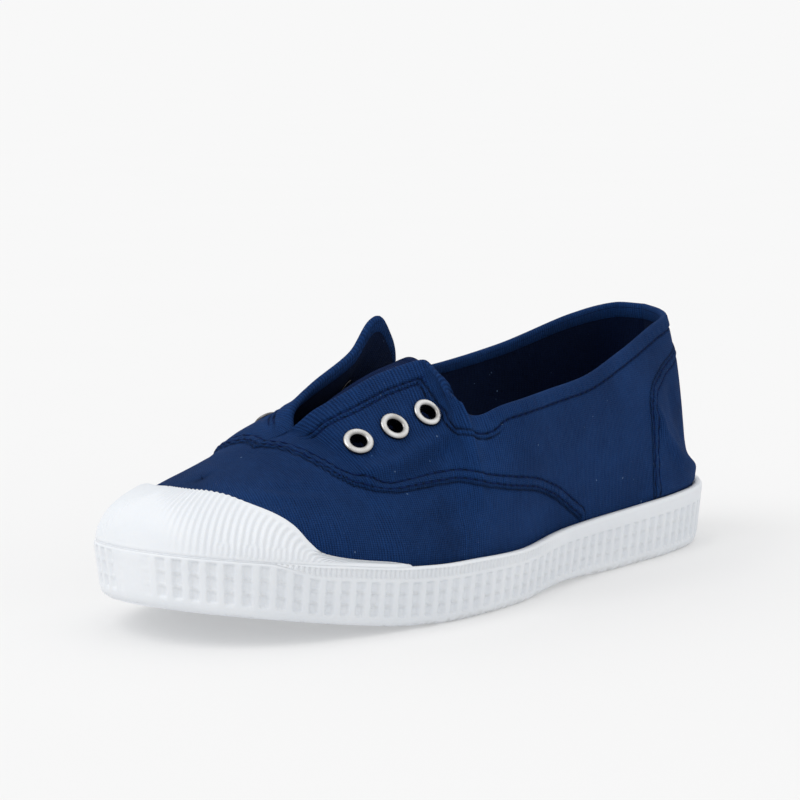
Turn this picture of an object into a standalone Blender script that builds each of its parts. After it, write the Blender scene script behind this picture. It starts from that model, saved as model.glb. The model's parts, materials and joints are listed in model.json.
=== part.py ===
# Laceless canvas sneaker, left shoe: rubber sole, rubber toe cap, canvas upper with two
# eyelet flaps, gusset, insole and six eyelets. Metres, +Z up, toe towards +X, the shoe's
# left (outer) side towards +Y, origin at the bottom centre of the bounding box.

import math

import bmesh
import bpy
import numpy as np

# Driving sizes
LENGTH = 0.250
BALL_WIDTH = 0.0903
HEEL_WIDTH = 0.0660
SIDE_HEIGHT = 0.0175
TOE_SPRING = 0.0114
ARCH_HEIGHT = 0.0012
COLLAR_HEIGHT = 0.0760
INSTEP_HEIGHT = 0.0700

# Walls, layers and clearances
GAP = 0.0003
FOXING_WALL = 0.0030
PLATE = 0.0062
CANVAS = 0.0015
OVERLAY = 0.0007
INSOLE_THICKNESS = 0.0035
CAP_FOOT_WALL = 0.0028
CAP_TOP_WALL = 0.0016
GUSSET_WALL = 0.0012
CAP_CLEARANCE = 0.0006
UPPER_INSET = FOXING_WALL + GAP + OVERLAY

# Sole details
RIB_COUNT = 118
RIB_DEPTH = 0.0008
RIB_LAND = 0.62
SIDE_TAPER = 0.0020
TREAD_DEPTH = 0.0014
TREAD_BAR = 0.0032
TREAD_PITCH = 0.0098
TREAD_MARGIN = 0.0075
TREAD_ENDS = 0.0180

# Eyelets
EYELET_RADIUS = 0.0045
EYELET_BORE = 0.0024
EYELET_METAL = 0.0004
EYELET_CROWN = 0.0010
EYELET_FLANGE = 0.0012
EYELET_SEAT = 0.00092

# Fineness of the faceting. Shares are of the half outline or of a row's curve.
CURVE_STEPS = 24
RING_POINTS = 96
EYELET_SEGMENTS = 12
CAP_COLUMNS = 27
CAP_LEVELS = 6
GUSSET_ROWS = 7
GUSSET_COLUMNS = 8
ROW_STEP = 0.045
ROW_MERGE = 0.0065
SEAM_STEP = 0.012
LEVEL_MARGIN = 0.012
LEVELS_BELOW_SEAM = (0.45, 0.80)
LEVELS_ABOVE_SEAM = (0.15, 0.36, 0.60, 0.82, 1.00)
NORMAL_STEP = 0.004
NEAR_SHARE = 0.005
SHARP_DEGREES = 35.0

# Outline of the sole's widest edge. Columns: share of the length from the heel, then how
# far the left and the right edge stand out, in half heel widths and in half ball widths.
OUTLINE = [
    # along, left_heel, left_ball, right_heel, right_ball
    (0.000, 0.000, 0.000, 0.000, 0.000),
    (0.012, 0.300, 0.000, -0.340, 0.000),
    (0.040, 0.600, 0.000, -0.630, 0.000),
    (0.090, 0.860, 0.000, -0.840, 0.000),
    (0.160, 1.000, 0.000, -0.950, 0.000),
    (0.250, 1.065, 0.000, -0.925, 0.000),
    (0.350, 0.560, 0.405, -0.430, -0.310),
    (0.450, 0.280, 0.695, -0.210, -0.465),
    (0.550, 0.000, 1.015, 0.000, -0.705),
    (0.650, 0.000, 1.045, 0.000, -0.835),
    (0.740, 0.000, 0.985, 0.000, -0.940),
    (0.820, 0.000, 0.880, 0.000, -0.955),
    (0.890, 0.000, 0.730, 0.000, -0.870),
    (0.940, 0.000, 0.555, 0.000, -0.720),
    (0.975, 0.000, 0.340, 0.000, -0.530),
    (0.993, 0.000, 0.140, 0.000, -0.320),
    (1.000, 0.000, -0.098, 0.000, -0.098),
]

# Heights along the sole. Columns: share of the length, lower edge in arch heights and in
# toe springs, height of the side in side heights.
PROFILE = [
    # along, arch, spring, side
    (0.00, 0.30, 0.00, 1.13),
    (0.05, 0.00, 0.00, 1.12),
    (0.30, 0.00, 0.00, 1.05),
    (0.42, 1.00, 0.00, 0.95),
    (0.54, 0.00, 0.00, 0.93),
    (0.66, 0.00, 0.00, 0.98),
    (0.74, 0.00, 0.09, 0.98),
    (0.82, 0.00, 0.33, 0.97),
    (0.91, 0.00, 0.66, 0.93),
    (1.00, 0.00, 1.00, 0.88),
]

# Edges of the side's bands, from the tread up. Columns: share of the side's height, share
# of the side taper, inset in rib depths, and whether that inset is only between the ribs.
BANDS = [
    # up, taper, inset, ribbed
    (0.000, 1.00, 1.50, False),
    (0.060, 0.95, 0.30, False),
    (0.180, 0.82, 0.00, False),
    (0.205, 0.80, 1.00, True),
    (0.705, 0.30, 1.00, True),
    (0.730, 0.27, 0.00, False),
    (0.745, 0.25, 0.50, False),
    (0.850, 0.12, 0.50, False),
    (0.865, 0.10, 0.00, False),
    (0.960, 0.00, 0.30, False),
    (1.000, 0.00, 1.10, False),
]

# Rows of the upper from the heel's middle to the toe's, one line from the sole to the top
# edge each. Columns: share of the half outline at the sole, top point along the length,
# across in half ball widths, its height in collar heights and in instep heights, then the
# curve's pulls in ball widths: out and up at the sole, forward, out and down at the top.
LEFT_ROWS = [
    # foot, along, across, collar, instep, out, rise, forward, top_out, top_down
    (0.000, 0.060, -0.045, 0.988, 0.000, -0.052, 0.140, -0.060, 0.000, 0.220),
    (0.045, 0.070, 0.133, 0.975, 0.000, -0.052, 0.140, -0.060, 0.020, 0.220),
    (0.090, 0.091, 0.255, 0.958, 0.000, -0.050, 0.140, -0.045, 0.045, 0.210),
    (0.150, 0.132, 0.320, 0.934, 0.000, -0.028, 0.140, -0.020, 0.070, 0.190),
    (0.260, 0.244, 0.476, 0.855, 0.000, -0.005, 0.150, -0.010, 0.065, 0.150),
    (0.360, 0.352, 0.598, 0.789, 0.000, 0.000, 0.150, 0.000, 0.050, 0.130),
    (0.430, 0.426, 0.653, 0.772, 0.000, 0.000, 0.150, 0.000, 0.045, 0.120),
    (0.500, 0.496, 0.698, 0.755, 0.000, 0.005, 0.150, 0.000, 0.050, 0.110),
    (0.548, 0.548, 0.687, 0.729, 0.000, 0.008, 0.150, 0.000, 0.055, 0.110),
    (0.578, 0.590, 0.622, 0.000, 0.832, 0.010, 0.150, 0.000, 0.075, 0.115),
    (0.590, 0.592, 0.522, 0.000, 0.890, 0.010, 0.150, 0.010, 0.090, 0.125),
    (0.603, 0.586, 0.415, 0.000, 0.946, 0.010, 0.150, 0.015, 0.090, 0.135),
    (0.615, 0.584, 0.288, 0.000, 1.000, 0.010, 0.150, 0.015, 0.095, 0.140),
    (0.645, 0.643, 0.188, 0.000, 0.957, 0.010, 0.150, 0.010, 0.110, 0.130),
    (0.675, 0.694, 0.133, 0.000, 0.891, 0.010, 0.155, 0.000, 0.120, 0.100),
    (0.700, 0.732, 0.022, 0.000, 0.814, 0.008, 0.160, 0.000, 0.140, 0.050),
    (0.722, 0.739, -0.120, 0.000, 0.740, 0.005, 0.165, 0.000, 0.170, -0.005),
    (0.765, 0.788, -0.140, 0.000, 0.708, 0.002, 0.170, 0.000, 0.200, 0.005),
    (0.825, 0.832, -0.144, 0.000, 0.656, 0.000, 0.165, 0.030, 0.190, 0.010),
    (0.885, 0.860, -0.144, 0.000, 0.630, -0.002, 0.130, 0.100, 0.150, 0.020),
    (0.945, 0.876, -0.144, 0.000, 0.611, -0.002, 0.125, 0.170, 0.080, 0.028),
    (1.000, 0.880, -0.144, 0.000, 0.606, -0.002, 0.115, 0.200, 0.000, 0.030),
]
RIGHT_ROWS = [
    # foot, along, across, collar, instep, out, rise, forward, top_out, top_down
    (0.000, 0.060, 0.045, 0.988, 0.000, -0.052, 0.140, -0.060, 0.000, 0.220),
    (0.045, 0.070, 0.220, 0.992, 0.000, -0.052, 0.140, -0.060, 0.020, 0.220),
    (0.090, 0.091, 0.343, 0.978, 0.000, -0.050, 0.140, -0.045, 0.045, 0.210),
    (0.150, 0.132, 0.420, 0.950, 0.000, -0.028, 0.140, -0.020, 0.060, 0.190),
    (0.260, 0.244, 0.610, 0.840, 0.000, -0.005, 0.150, -0.010, 0.045, 0.150),
    (0.360, 0.346, 0.700, 0.786, 0.000, 0.000, 0.150, 0.000, 0.030, 0.130),
    (0.430, 0.402, 0.738, 0.768, 0.000, 0.000, 0.150, 0.000, 0.030, 0.120),
    (0.500, 0.438, 0.742, 0.758, 0.000, 0.005, 0.160, 0.000, 0.030, 0.110),
    (0.548, 0.454, 0.690, 0.776, 0.000, 0.008, 0.160, 0.000, 0.035, 0.120),
    (0.578, 0.468, 0.580, 0.000, 0.893, 0.010, 0.170, 0.010, 0.045, 0.135),
    (0.590, 0.490, 0.450, 0.000, 0.968, 0.010, 0.170, 0.015, 0.045, 0.155),
    (0.603, 0.520, 0.343, 0.000, 1.064, 0.010, 0.170, 0.020, 0.040, 0.180),
    (0.615, 0.553, 0.277, 0.000, 1.150, 0.010, 0.170, 0.020, 0.035, 0.210),
    (0.645, 0.604, 0.266, 0.000, 1.010, 0.010, 0.170, 0.010, 0.050, 0.180),
    (0.675, 0.668, 0.266, 0.000, 0.907, 0.010, 0.165, 0.000, 0.070, 0.130),
    (0.700, 0.716, 0.230, 0.000, 0.820, 0.008, 0.195, 0.000, 0.140, 0.010),
    (0.722, 0.739, 0.120, 0.000, 0.740, 0.005, 0.165, 0.000, 0.200, -0.105),
    (0.765, 0.788, 0.140, 0.000, 0.708, 0.002, 0.150, 0.000, 0.180, -0.010),
    (0.825, 0.832, 0.144, 0.000, 0.656, 0.000, 0.140, 0.030, 0.150, 0.005),
    (0.885, 0.860, 0.144, 0.000, 0.630, -0.002, 0.110, 0.100, 0.130, 0.020),
    (0.945, 0.876, 0.144, 0.000, 0.611, -0.002, 0.105, 0.170, 0.080, 0.028),
    (1.000, 0.880, 0.144, 0.000, 0.606, -0.002, 0.115, 0.200, 0.000, 0.030),
]
SLIT_TIP_FOOT = 0.722

# Edge of the heel stay, then of the quarter where it laps over the vamp. Columns: share of
# the half outline, share of the row's curve, and the overlay's layers above and below it.
SEAM = [
    # foot, up, above, below
    (0.000, 0.880, 1.0, 2.0),
    (0.108, 0.825, 1.0, 2.0),
    (0.170, 0.780, 1.0, 2.0),
    (0.205, 0.720, 1.0, 2.0),
    (0.222, 0.620, 1.0, 2.0),
    (0.230, 0.300, 1.0, 2.0),
    (0.236, 0.030, 1.0, 2.0),
    (0.250, 0.030, 1.0, 1.0),
    (0.365, 0.030, 1.0, 1.0),
    (0.383, 0.030, 1.0, 0.0),
    (0.404, 0.113, 1.0, 0.0),
    (0.434, 0.225, 1.0, 0.0),
    (0.488, 0.355, 1.0, 0.0),
    (0.538, 0.420, 1.0, 0.0),
    (0.618, 0.405, 1.0, 0.0),
    (0.680, 0.415, 1.0, 0.0),
    (0.702, 0.438, 1.0, 0.0),
    (0.728, 0.475, 1.0, 0.0),
    (0.742, 0.560, 1.0, 0.0),
    (0.752, 0.700, 1.0, 0.0),
    (0.760, 0.880, 1.0, 0.0),
    (0.768, 0.970, 1.0, 0.0),
    (0.785, 0.970, 0.0, 0.0),
    (0.870, 0.600, 0.0, 0.0),
    (1.000, 0.500, 0.0, 0.0),
]

# Upper edge of the toe cap, with its low tail along the sole. Columns: share of the half
# outline, share of the row's curve.
CAP_EDGE = [
    # foot, up
    (0.690, 0.000),
    (0.720, 0.022),
    (0.760, 0.028),
    (0.785, 0.042),
    (0.800, 0.062),
    (0.812, 0.120),
    (0.826, 0.228),
    (0.858, 0.400),
    (0.896, 0.575),
    (0.926, 0.655),
    (1.000, 0.730),
]

# The gusset under the flaps. Columns: share of the length, middle across and half width
# in half ball widths, crown height in instep heights, drop at the sides likewise.
GUSSET = [
    # along, across, half_width, crown, drop
    (0.532, -0.080, 0.340, 0.985, 0.250),
    (0.580, -0.080, 0.330, 0.955, 0.220),
    (0.632, -0.080, 0.290, 0.900, 0.170),
    (0.684, -0.085, 0.210, 0.820, 0.100),
    (0.728, -0.100, 0.130, 0.703, 0.030),
    (0.764, -0.060, 0.100, 0.682, 0.010),
]

# Eyelets of each flap, from the toe. Columns: share of the half outline, share of the
# row's curve.
EYELETS = [
    # foot, up
    (0.689, 0.697),
    (0.656, 0.710),
    (0.629, 0.722),
]

# Materials: colour, roughness, metallic
CANVAS_BLUE = ((0.012, 0.040, 0.150, 1.0), 0.90, 0.0)
RUBBER_WHITE = ((0.780, 0.800, 0.820, 1.0), 0.45, 0.0)
INSOLE_BLUE = ((0.010, 0.022, 0.070, 1.0), 0.85, 0.0)
GUSSET_BLUE = ((0.008, 0.020, 0.075, 1.0), 0.90, 0.0)
NICKEL = ((0.720, 0.700, 0.670, 1.0), 0.25, 1.0)


def clear_scene():
    for item in list(bpy.data.objects):
        bpy.data.objects.remove(item, do_unlink=True)


def make_material(name, look):
    colour, roughness, metallic = look
    material = bpy.data.materials.new(name)
    material.use_nodes = True
    shader = material.node_tree.nodes["Principled BSDF"]
    shader.inputs["Base Color"].default_value = colour
    shader.inputs["Roughness"].default_value = roughness
    shader.inputs["Metallic"].default_value = metallic
    return material


def make_solid(name, points, faces, material):
    """One closed body with its faces pointing out."""
    mesh = bpy.data.meshes.new(name)
    mesh.from_pydata([tuple(point) for point in points], [], faces)
    work = bmesh.new()
    work.from_mesh(mesh)
    bmesh.ops.recalc_face_normals(work, faces=work.faces)
    work.to_mesh(mesh)
    work.free()
    mesh.shade_smooth()
    mesh.set_sharp_from_angle(angle=math.radians(SHARP_DEGREES))
    mesh.materials.append(material)
    body = bpy.data.objects.new(name, mesh)
    bpy.context.scene.collection.objects.link(body)
    return body


def limited_slopes(knots, values):
    """Slopes for a cubic through the values that never overshoots them."""
    steps = np.diff(knots)
    rises = np.diff(values) / steps
    slopes = np.zeros(len(values))
    for i in range(1, len(values) - 1):
        if rises[i - 1] * rises[i] > 0:
            before = 2 * steps[i] + steps[i - 1]
            after = steps[i] + 2 * steps[i - 1]
            slopes[i] = (before + after) / (before / rises[i - 1] + after / rises[i])
    slopes[0] = rises[0]
    slopes[-1] = rises[-1]
    return slopes


def follow(table, column, at):
    """One column of a table, read smoothly at the given values of its first column."""
    knots = np.array([row[0] for row in table], float)
    values = np.array([row[column] for row in table], float)
    slopes = limited_slopes(knots, values)
    at = np.clip(np.asarray(at, float), knots[0], knots[-1])
    index = np.clip(np.searchsorted(knots, at, side="right") - 1, 0, len(knots) - 2)
    width = knots[index + 1] - knots[index]
    t = (at - knots[index]) / width
    return (
        (1 + 2 * t) * (1 - t) ** 2 * values[index]
        + t * (1 - t) ** 2 * width * slopes[index]
        + t * t * (3 - 2 * t) * values[index + 1]
        + t * t * (t - 1) * width * slopes[index + 1]
    )


def closed_curve(points, count):
    """A smooth closed curve through the points, read at even steps of its own length."""
    points = np.asarray(points, float)
    chord = np.linalg.norm(np.roll(points, -1, axis=0) - points, axis=1)
    before = np.roll(points, 1, axis=0)
    after = np.roll(points, -1, axis=0)
    chord_before = np.roll(chord, 1)[:, None]
    chord_after = chord[:, None]
    tangent = (
        (points - before) / chord_before * chord_after
        + (after - points) / chord_after * chord_before
    ) / (chord_before + chord_after)
    fine = []
    for i in range(len(points)):
        j = (i + 1) % len(points)
        t = np.arange(CURVE_STEPS)[:, None] / CURVE_STEPS
        fine.append(
            (1 + 2 * t) * (1 - t) ** 2 * points[i]
            + t * (1 - t) ** 2 * chord[i] * tangent[i]
            + t * t * (3 - 2 * t) * points[j]
            + t * t * (t - 1) * chord[i] * tangent[j]
        )
    fine = np.concatenate(fine)
    fine = np.vstack([fine, fine[:1]])
    travel = np.concatenate([[0], np.cumsum(np.linalg.norm(np.diff(fine, axis=0), axis=1))])
    even = np.linspace(0, travel[-1], count + 1)[:-1]
    return np.column_stack([np.interp(even, travel, fine[:, k]) for k in range(2)])


def outline_table_points():
    half_heel = HEEL_WIDTH / 2
    half_ball = BALL_WIDTH / 2
    left = []
    right = []
    for along, left_heel, left_ball, right_heel, right_ball in OUTLINE:
        x = along * LENGTH
        left.append((x, left_heel * half_heel + left_ball * half_ball))
        right.append((x, right_heel * half_heel + right_ball * half_ball))
    return left + right[-2:0:-1]


class Outline:
    """The sole's widest edge, read by share of its whole length from the heel's middle,
    along the left side to the toe and back along the right."""

    FINE = 2400

    def __init__(self):
        curve = closed_curve(outline_table_points(), self.FINE)
        low = curve.min(axis=0)
        high = curve.max(axis=0)
        curve = curve - (low + high) / 2
        self.curve = curve
        self.toe = float(np.argmax(curve[:, 0])) / self.FINE
        tangent = np.roll(curve, -1, axis=0) - np.roll(curve, 1, axis=0)
        tangent /= np.linalg.norm(tangent, axis=1)[:, None]
        self.normal = np.column_stack([-tangent[:, 1], tangent[:, 0]])

    def at(self, share, offset=0.0):
        position = np.mod(np.asarray(share, float), 1.0) * self.FINE
        low = np.floor(position).astype(int) % self.FINE
        high = (low + 1) % self.FINE
        blend = (position - np.floor(position))[..., None]
        point = self.curve[low] * (1 - blend) + self.curve[high] * blend
        normal = self.normal[low] * (1 - blend) + self.normal[high] * blend
        normal /= np.linalg.norm(normal, axis=-1)[..., None]
        return point + normal * np.asarray(offset, float)[..., None], normal

    def foot(self, side, share):
        """The place on the outline of a half-outline share: 0 at the heel, 1 at the toe."""
        if side == "left":
            return np.asarray(share, float) * self.toe
        return 1.0 - np.asarray(share, float) * (1.0 - self.toe)


def along_share(x):
    return np.asarray(x, float) / LENGTH + 0.5


def lower_edge(x):
    share = along_share(x)
    return follow(PROFILE, 1, share) * ARCH_HEIGHT + follow(PROFILE, 2, share) * TOE_SPRING


def rim_height(x):
    return lower_edge(x) + follow(PROFILE, 3, along_share(x)) * SIDE_HEIGHT


def floor_height(x):
    return lower_edge(x) + PLATE


class Upper:
    """The canvas surface without its overlay, read by side, share of the half outline and
    share of the row's curve from the sole's rim to the top edge."""

    def __init__(self, outline):
        self.outline = outline
        self.tables = {"left": LEFT_ROWS, "right": RIGHT_ROWS}

    def row(self, side, share):
        """The four points of a row's curve, and its foot on the sole's floor."""
        table = self.tables[side]
        sign = 1.0 if side == "left" else -1.0
        read = [follow(table, column, share) for column in range(1, 10)]
        along, across, collar, instep, out, rise, forward, top_out, top_down = read
        edge, normal = self.outline.at(self.outline.foot(side, share))
        place = edge - normal * UPPER_INSET
        foot = np.array([place[0], place[1], float(rim_height(edge[0]))])
        floor = np.array([place[0], place[1], float(floor_height(edge[0])) + GAP])
        top = np.array([
            (along - 0.5) * LENGTH,
            sign * across * BALL_WIDTH / 2,
            collar * COLLAR_HEIGHT + instep * INSTEP_HEIGHT,
        ])
        pull = np.array([normal[0] * out, normal[1] * out, rise]) * BALL_WIDTH
        top_pull = np.array([forward, sign * top_out, -top_down]) * BALL_WIDTH
        return floor, foot, foot + pull, top + top_pull, top

    def point(self, side, share, up):
        floor, a, b, c, d = self.row(side, share)
        if up < 0:
            return a + (floor - a) * -up
        rest = 1 - up
        return a * rest**3 + 3 * b * up * rest**2 + 3 * c * up**2 * rest + d * up**3

    def normal(self, side, share, up):
        ahead = self.point(side, share + NORMAL_STEP, up)
        behind = self.point(side, share - NORMAL_STEP, up)
        above = self.point(side, share, min(up + NORMAL_STEP, 1.0))
        below = self.point(side, share, max(up - NORMAL_STEP, 0.0))
        across = ahead - behind
        rising = above - below
        normal = np.cross(across, rising)
        if side == "left":
            normal = -normal
        return normal / np.linalg.norm(normal)


def row_shares():
    """Half-outline shares of the upper's rows: those of its table, those of the seam's that
    aren't close to one of them, and steps between."""
    rows = [row[0] for row in LEFT_ROWS]
    extra = [row[0] for row in SEAM if min(abs(row[0] - knot) for knot in rows) > ROW_MERGE]
    knots = sorted(rows + extra)
    shares = [knots[0]]
    for low, high in zip(knots, knots[1:]):
        steps = math.ceil((high - low) / ROW_STEP)
        shares += [low + (high - low) * (k + 1) / steps for k in range(steps)]
    return shares


def row_levels(share):
    """Curve shares of one row, with a close pair across the seam's edge, and the layers
    that lie on the canvas at each."""
    knots = [row[0] for row in SEAM]
    seam = float(follow(SEAM, 1, share))
    above = float(np.interp(share, knots, [row[2] for row in SEAM]))
    below = float(np.interp(share, knots, [row[3] for row in SEAM]))
    low = max(seam - SEAM_STEP, LEVEL_MARGIN)
    high = min(seam + SEAM_STEP, 1 - LEVEL_MARGIN)
    hidden = min(below, 1.0)
    levels = [(-1.0, hidden), (0.0, hidden)]
    levels += [(low * part, below) for part in LEVELS_BELOW_SEAM]
    levels += [(low, below), (high, above)]
    levels += [(high + (1 - high) * part, above) for part in LEVELS_ABOVE_SEAM]
    return levels


def grid_faces(index, last, levels):
    """Faces of both sides' grids, which share their middle points, all facing one way."""
    quads = []
    for side in ("left", "right"):
        for i in range(last):
            for j in range(levels):
                near = [index[side, i, j], index[side, i + 1, j]]
                far = [index[side, i + 1, j + 1], index[side, i, j + 1]]
                quad = near + far
                quads.append(quad[::-1] if side == "left" else quad)
    return quads


def shell_faces(quads, count):
    """A sheet's faces, the same faces turned over on a second sheet, and the rim between."""
    faces = quads + [[k + count for k in quad][::-1] for quad in quads]
    for a, b in border_edges(quads):
        faces.append([b, a, a + count, b + count])
    return faces


def build_upper(upper, material):
    shares = row_shares()
    tip = int(np.argmin(np.abs(np.array(shares) - SLIT_TIP_FOOT)))
    last = len(shares) - 1
    columns = len(row_levels(0.0))
    points = []
    overlay = []
    upright = []
    index = {}
    for side in ("left", "right"):
        for i, share in enumerate(shares):
            levels = row_levels(share)
            for j, (up, raised) in enumerate(levels):
                shared = i in (0, last) or (i >= tip and j == columns - 1)
                if side == "right" and shared:
                    index[side, i, j] = index["left", i, j]
                    continue
                index[side, i, j] = len(points)
                points.append(upper.point(side, share, up))
                overlay.append(raised)
                upright.append(up <= 0)
    points = np.array(points)
    quads = grid_faces(index, last, columns - 1)
    normals = vertex_normals(points, quads)
    normals[np.array(upright), 2] = 0.0
    normals /= np.linalg.norm(normals, axis=1)[:, None]
    outer = points + normals * (np.array(overlay) * OVERLAY)[:, None]
    inner = points - normals * CANVAS
    faces = shell_faces(quads, len(points))
    return make_solid("upper", np.vstack([outer, inner]), faces, material)


def vertex_normals(points, quads):
    normals = np.zeros_like(points)
    for quad in quads:
        a, b, c, d = (points[k] for k in quad)
        normal = np.cross(c - a, d - b)
        for k in quad:
            normals[k] += normal
    return normals / np.linalg.norm(normals, axis=1)[:, None]


def border_edges(faces):
    """Directed edges that only one face has."""
    seen = {}
    for face in faces:
        for a, b in zip(face, face[1:] + face[:1]):
            if a == b:
                continue
            seen[a, b] = seen.get((a, b), 0) + 1
    return [edge for edge in seen if (edge[1], edge[0]) not in seen]


class Rings:
    """Collects closed rings of points and the faces between them."""

    def __init__(self):
        self.points = []
        self.faces = []

    def ring(self, shares, points):
        """Adds a closed ring, and returns the shares of its points and their numbers."""
        first = len(self.points)
        self.points += [tuple(point) for point in points]
        return list(shares) + [1.0], list(range(first, len(self.points)))

    def join(self, low_ring, high_ring):
        """Bands two rings that may have different counts, both starting at the heel."""
        low_shares, low = low_ring
        high_shares, high = high_ring
        a = 0
        b = 0
        while a < len(low) or b < len(high):
            p = low[a % len(low)]
            q = high[b % len(high)]
            next_p = low[(a + 1) % len(low)]
            next_q = high[(b + 1) % len(high)]
            if len(low) == len(high):
                self.faces.append([p, next_p, next_q, q])
                a += 1
                b += 1
            elif b >= len(high) or (a < len(low) and low_shares[a + 1] <= high_shares[b + 1]):
                self.faces.append([p, next_p, q])
                a += 1
            else:
                self.faces.append([p, next_q, q])
                b += 1

    def fill(self, closed_ring):
        """Closes a ring with strips across it, from the heel to the toe."""
        ring = closed_ring[1]
        count = len(ring)
        half = count // 2
        self.faces.append([ring[0], ring[1], ring[-1]])
        for i in range(1, half - 1):
            self.faces.append([ring[i], ring[i + 1], ring[count - i - 1], ring[count - i]])
        self.faces.append([ring[half - 1], ring[half], ring[half + 1]])


def ring_shares(outline, count):
    """Even steps from the heel to the toe on each side, so that both sides match."""
    half = count // 2
    left = np.arange(half) / half * outline.toe
    right = outline.toe + np.arange(half) / half * (1 - outline.toe)
    return np.concatenate([left, right])


def rib_shares(outline):
    """Three places for each rib: the two edges of its land and the groove between."""
    shares = []
    insets = []
    base = ring_shares(outline, RIB_COUNT)
    width = np.diff(np.append(base, 1.0))
    for start, step in zip(base, width):
        shares += [start, start + step * RIB_LAND, start + step * (1 + RIB_LAND) / 2]
        insets += [0.0, 0.0, 1.0]
    return np.array(shares), np.array(insets)


def build_sole(outline, material):
    rings = Rings()
    plain = ring_shares(outline, RING_POINTS)
    ribbed, groove = rib_shares(outline)
    rows = []
    for up, taper, inset, has_ribs in BANDS:
        shares = ribbed if has_ribs else plain
        depth = groove * inset if has_ribs else inset
        place, _ = outline.at(shares, -(SIDE_TAPER * taper + RIB_DEPTH * depth))
        base, _ = outline.at(shares)
        low = lower_edge(base[:, 0])
        high = rim_height(base[:, 0])
        rows.append(rings.ring(shares, np.column_stack([place, low + (high - low) * up])))
    for low, high in zip(rows, rows[1:]):
        rings.join(low, high)
    inner, _ = outline.at(plain, -FOXING_WALL)
    base, _ = outline.at(plain)
    rim = rings.ring(plain, np.column_stack([inner, rim_height(base[:, 0])]))
    floor = rings.ring(plain, np.column_stack([inner, floor_height(base[:, 0])]))
    rings.join(rows[-1], rim)
    rings.join(rim, floor)
    rings.fill(floor)
    rings.fill(rows[0])
    sole = make_solid("sole", rings.points, rings.faces, material)
    cut_tread(sole, outline)
    return sole


def half_widths_at(outline, x):
    """The outline's right and left edge at one place along the length."""
    near = np.abs(outline.curve[:, 0] - x) < LENGTH * NEAR_SHARE
    across = outline.curve[near, 1]
    return across.min(), across.max()


BOX_FACES = [
    (0, 1, 3, 2),
    (4, 6, 7, 5),
    (0, 4, 5, 1),
    (2, 3, 7, 6),
    (0, 2, 6, 4),
    (1, 5, 7, 3),
]


def cut_tread(sole, outline):
    """Cross grooves between the main lugs, from the heel to the toe, following the tread."""
    points = []
    faces = []
    x = -LENGTH / 2 + TREAD_ENDS
    while x < LENGTH / 2 - TREAD_ENDS:
        right, left = half_widths_at(outline, x)
        reach = TREAD_MARGIN + SIDE_TAPER
        low = right + reach
        high = left - reach
        first = len(points)
        for dx in (-TREAD_BAR / 2, TREAD_BAR / 2):
            level = float(lower_edge(x + dx))
            for y in (low, high):
                for z in (level - TREAD_DEPTH, level + TREAD_DEPTH):
                    points.append((x + dx, y, z))
        faces += [[first + k for k in corner] for corner in BOX_FACES]
        x += TREAD_PITCH
    cutter = make_solid("tread_cutter", points, faces, sole.data.materials[0])
    cutter.hide_render = True
    cutter.display_type = "WIRE"
    cut = sole.modifiers.new("tread", "BOOLEAN")
    cut.operation = "DIFFERENCE"
    cut.object = cutter


def build_insole(outline, material):
    rings = Rings()
    shares = ring_shares(outline, RING_POINTS // 2)
    inset = UPPER_INSET + CANVAS + 2 * GAP
    base, _ = outline.at(shares)
    place, _ = outline.at(shares, -inset)
    bottom = floor_height(base[:, 0]) + GAP
    low = rings.ring(shares, np.column_stack([place, bottom]))
    high = rings.ring(shares, np.column_stack([place, bottom + INSOLE_THICKNESS]))
    rings.join(low, high)
    rings.fill(high)
    rings.fill(low)
    return make_solid("insole", rings.points, rings.faces, material)


def build_toe_cap(upper, material):
    """A rubber cap between the sole's rim and its own upper edge, over the canvas."""
    shares = np.linspace(CAP_EDGE[0][0], 1.0, CAP_COLUMNS + 2)[1:]
    points = []
    thickness = []
    index = {}
    for side in ("left", "right"):
        for i, share in enumerate(shares):
            edge = float(follow(CAP_EDGE, 1, share))
            for j in range(CAP_LEVELS + 1):
                if side == "right" and i == CAP_COLUMNS:
                    index[side, i, j] = index["left", i, j]
                    continue
                part = j / CAP_LEVELS
                index[side, i, j] = len(points)
                points.append(upper.point(side, share, edge * part))
                thickness.append(CAP_FOOT_WALL + (CAP_TOP_WALL - CAP_FOOT_WALL) * part**0.5)
    points = np.array(points)
    quads = grid_faces(index, CAP_COLUMNS, CAP_LEVELS)
    normals = vertex_normals(points, quads)
    lift = np.array([0.0, 0.0, CAP_CLEARANCE])
    inner = points + normals * CAP_CLEARANCE + lift
    outer = inner + normals * np.array(thickness)[:, None]
    faces = shell_faces(quads, len(points))
    return make_solid("toe_cap", np.vstack([outer, inner]), faces, material)


def build_gusset(material):
    """A curved sheet across the slit, under both flaps."""
    shares = np.linspace(GUSSET[0][0], GUSSET[-1][0], GUSSET_ROWS + 1)
    points = []
    for share in shares:
        middle, half, crown, drop = (float(follow(GUSSET, k, share)) for k in range(1, 5))
        for k in range(GUSSET_COLUMNS + 1):
            part = 2 * k / GUSSET_COLUMNS - 1
            points.append((
                (share - 0.5) * LENGTH,
                (middle + half * part) * BALL_WIDTH / 2,
                (crown - drop * part * part) * INSTEP_HEIGHT,
            ))
    points = np.array(points)
    width = GUSSET_COLUMNS + 1
    quads = []
    for i in range(GUSSET_ROWS):
        for k in range(GUSSET_COLUMNS):
            a = i * width + k
            quads.append([a, a + width, a + width + 1, a + 1])
    lower = points - vertex_normals(points, quads) * GUSSET_WALL
    faces = shell_faces(quads, len(points))
    return make_solid("gusset", np.vstack([points, lower]), faces, material)


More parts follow.
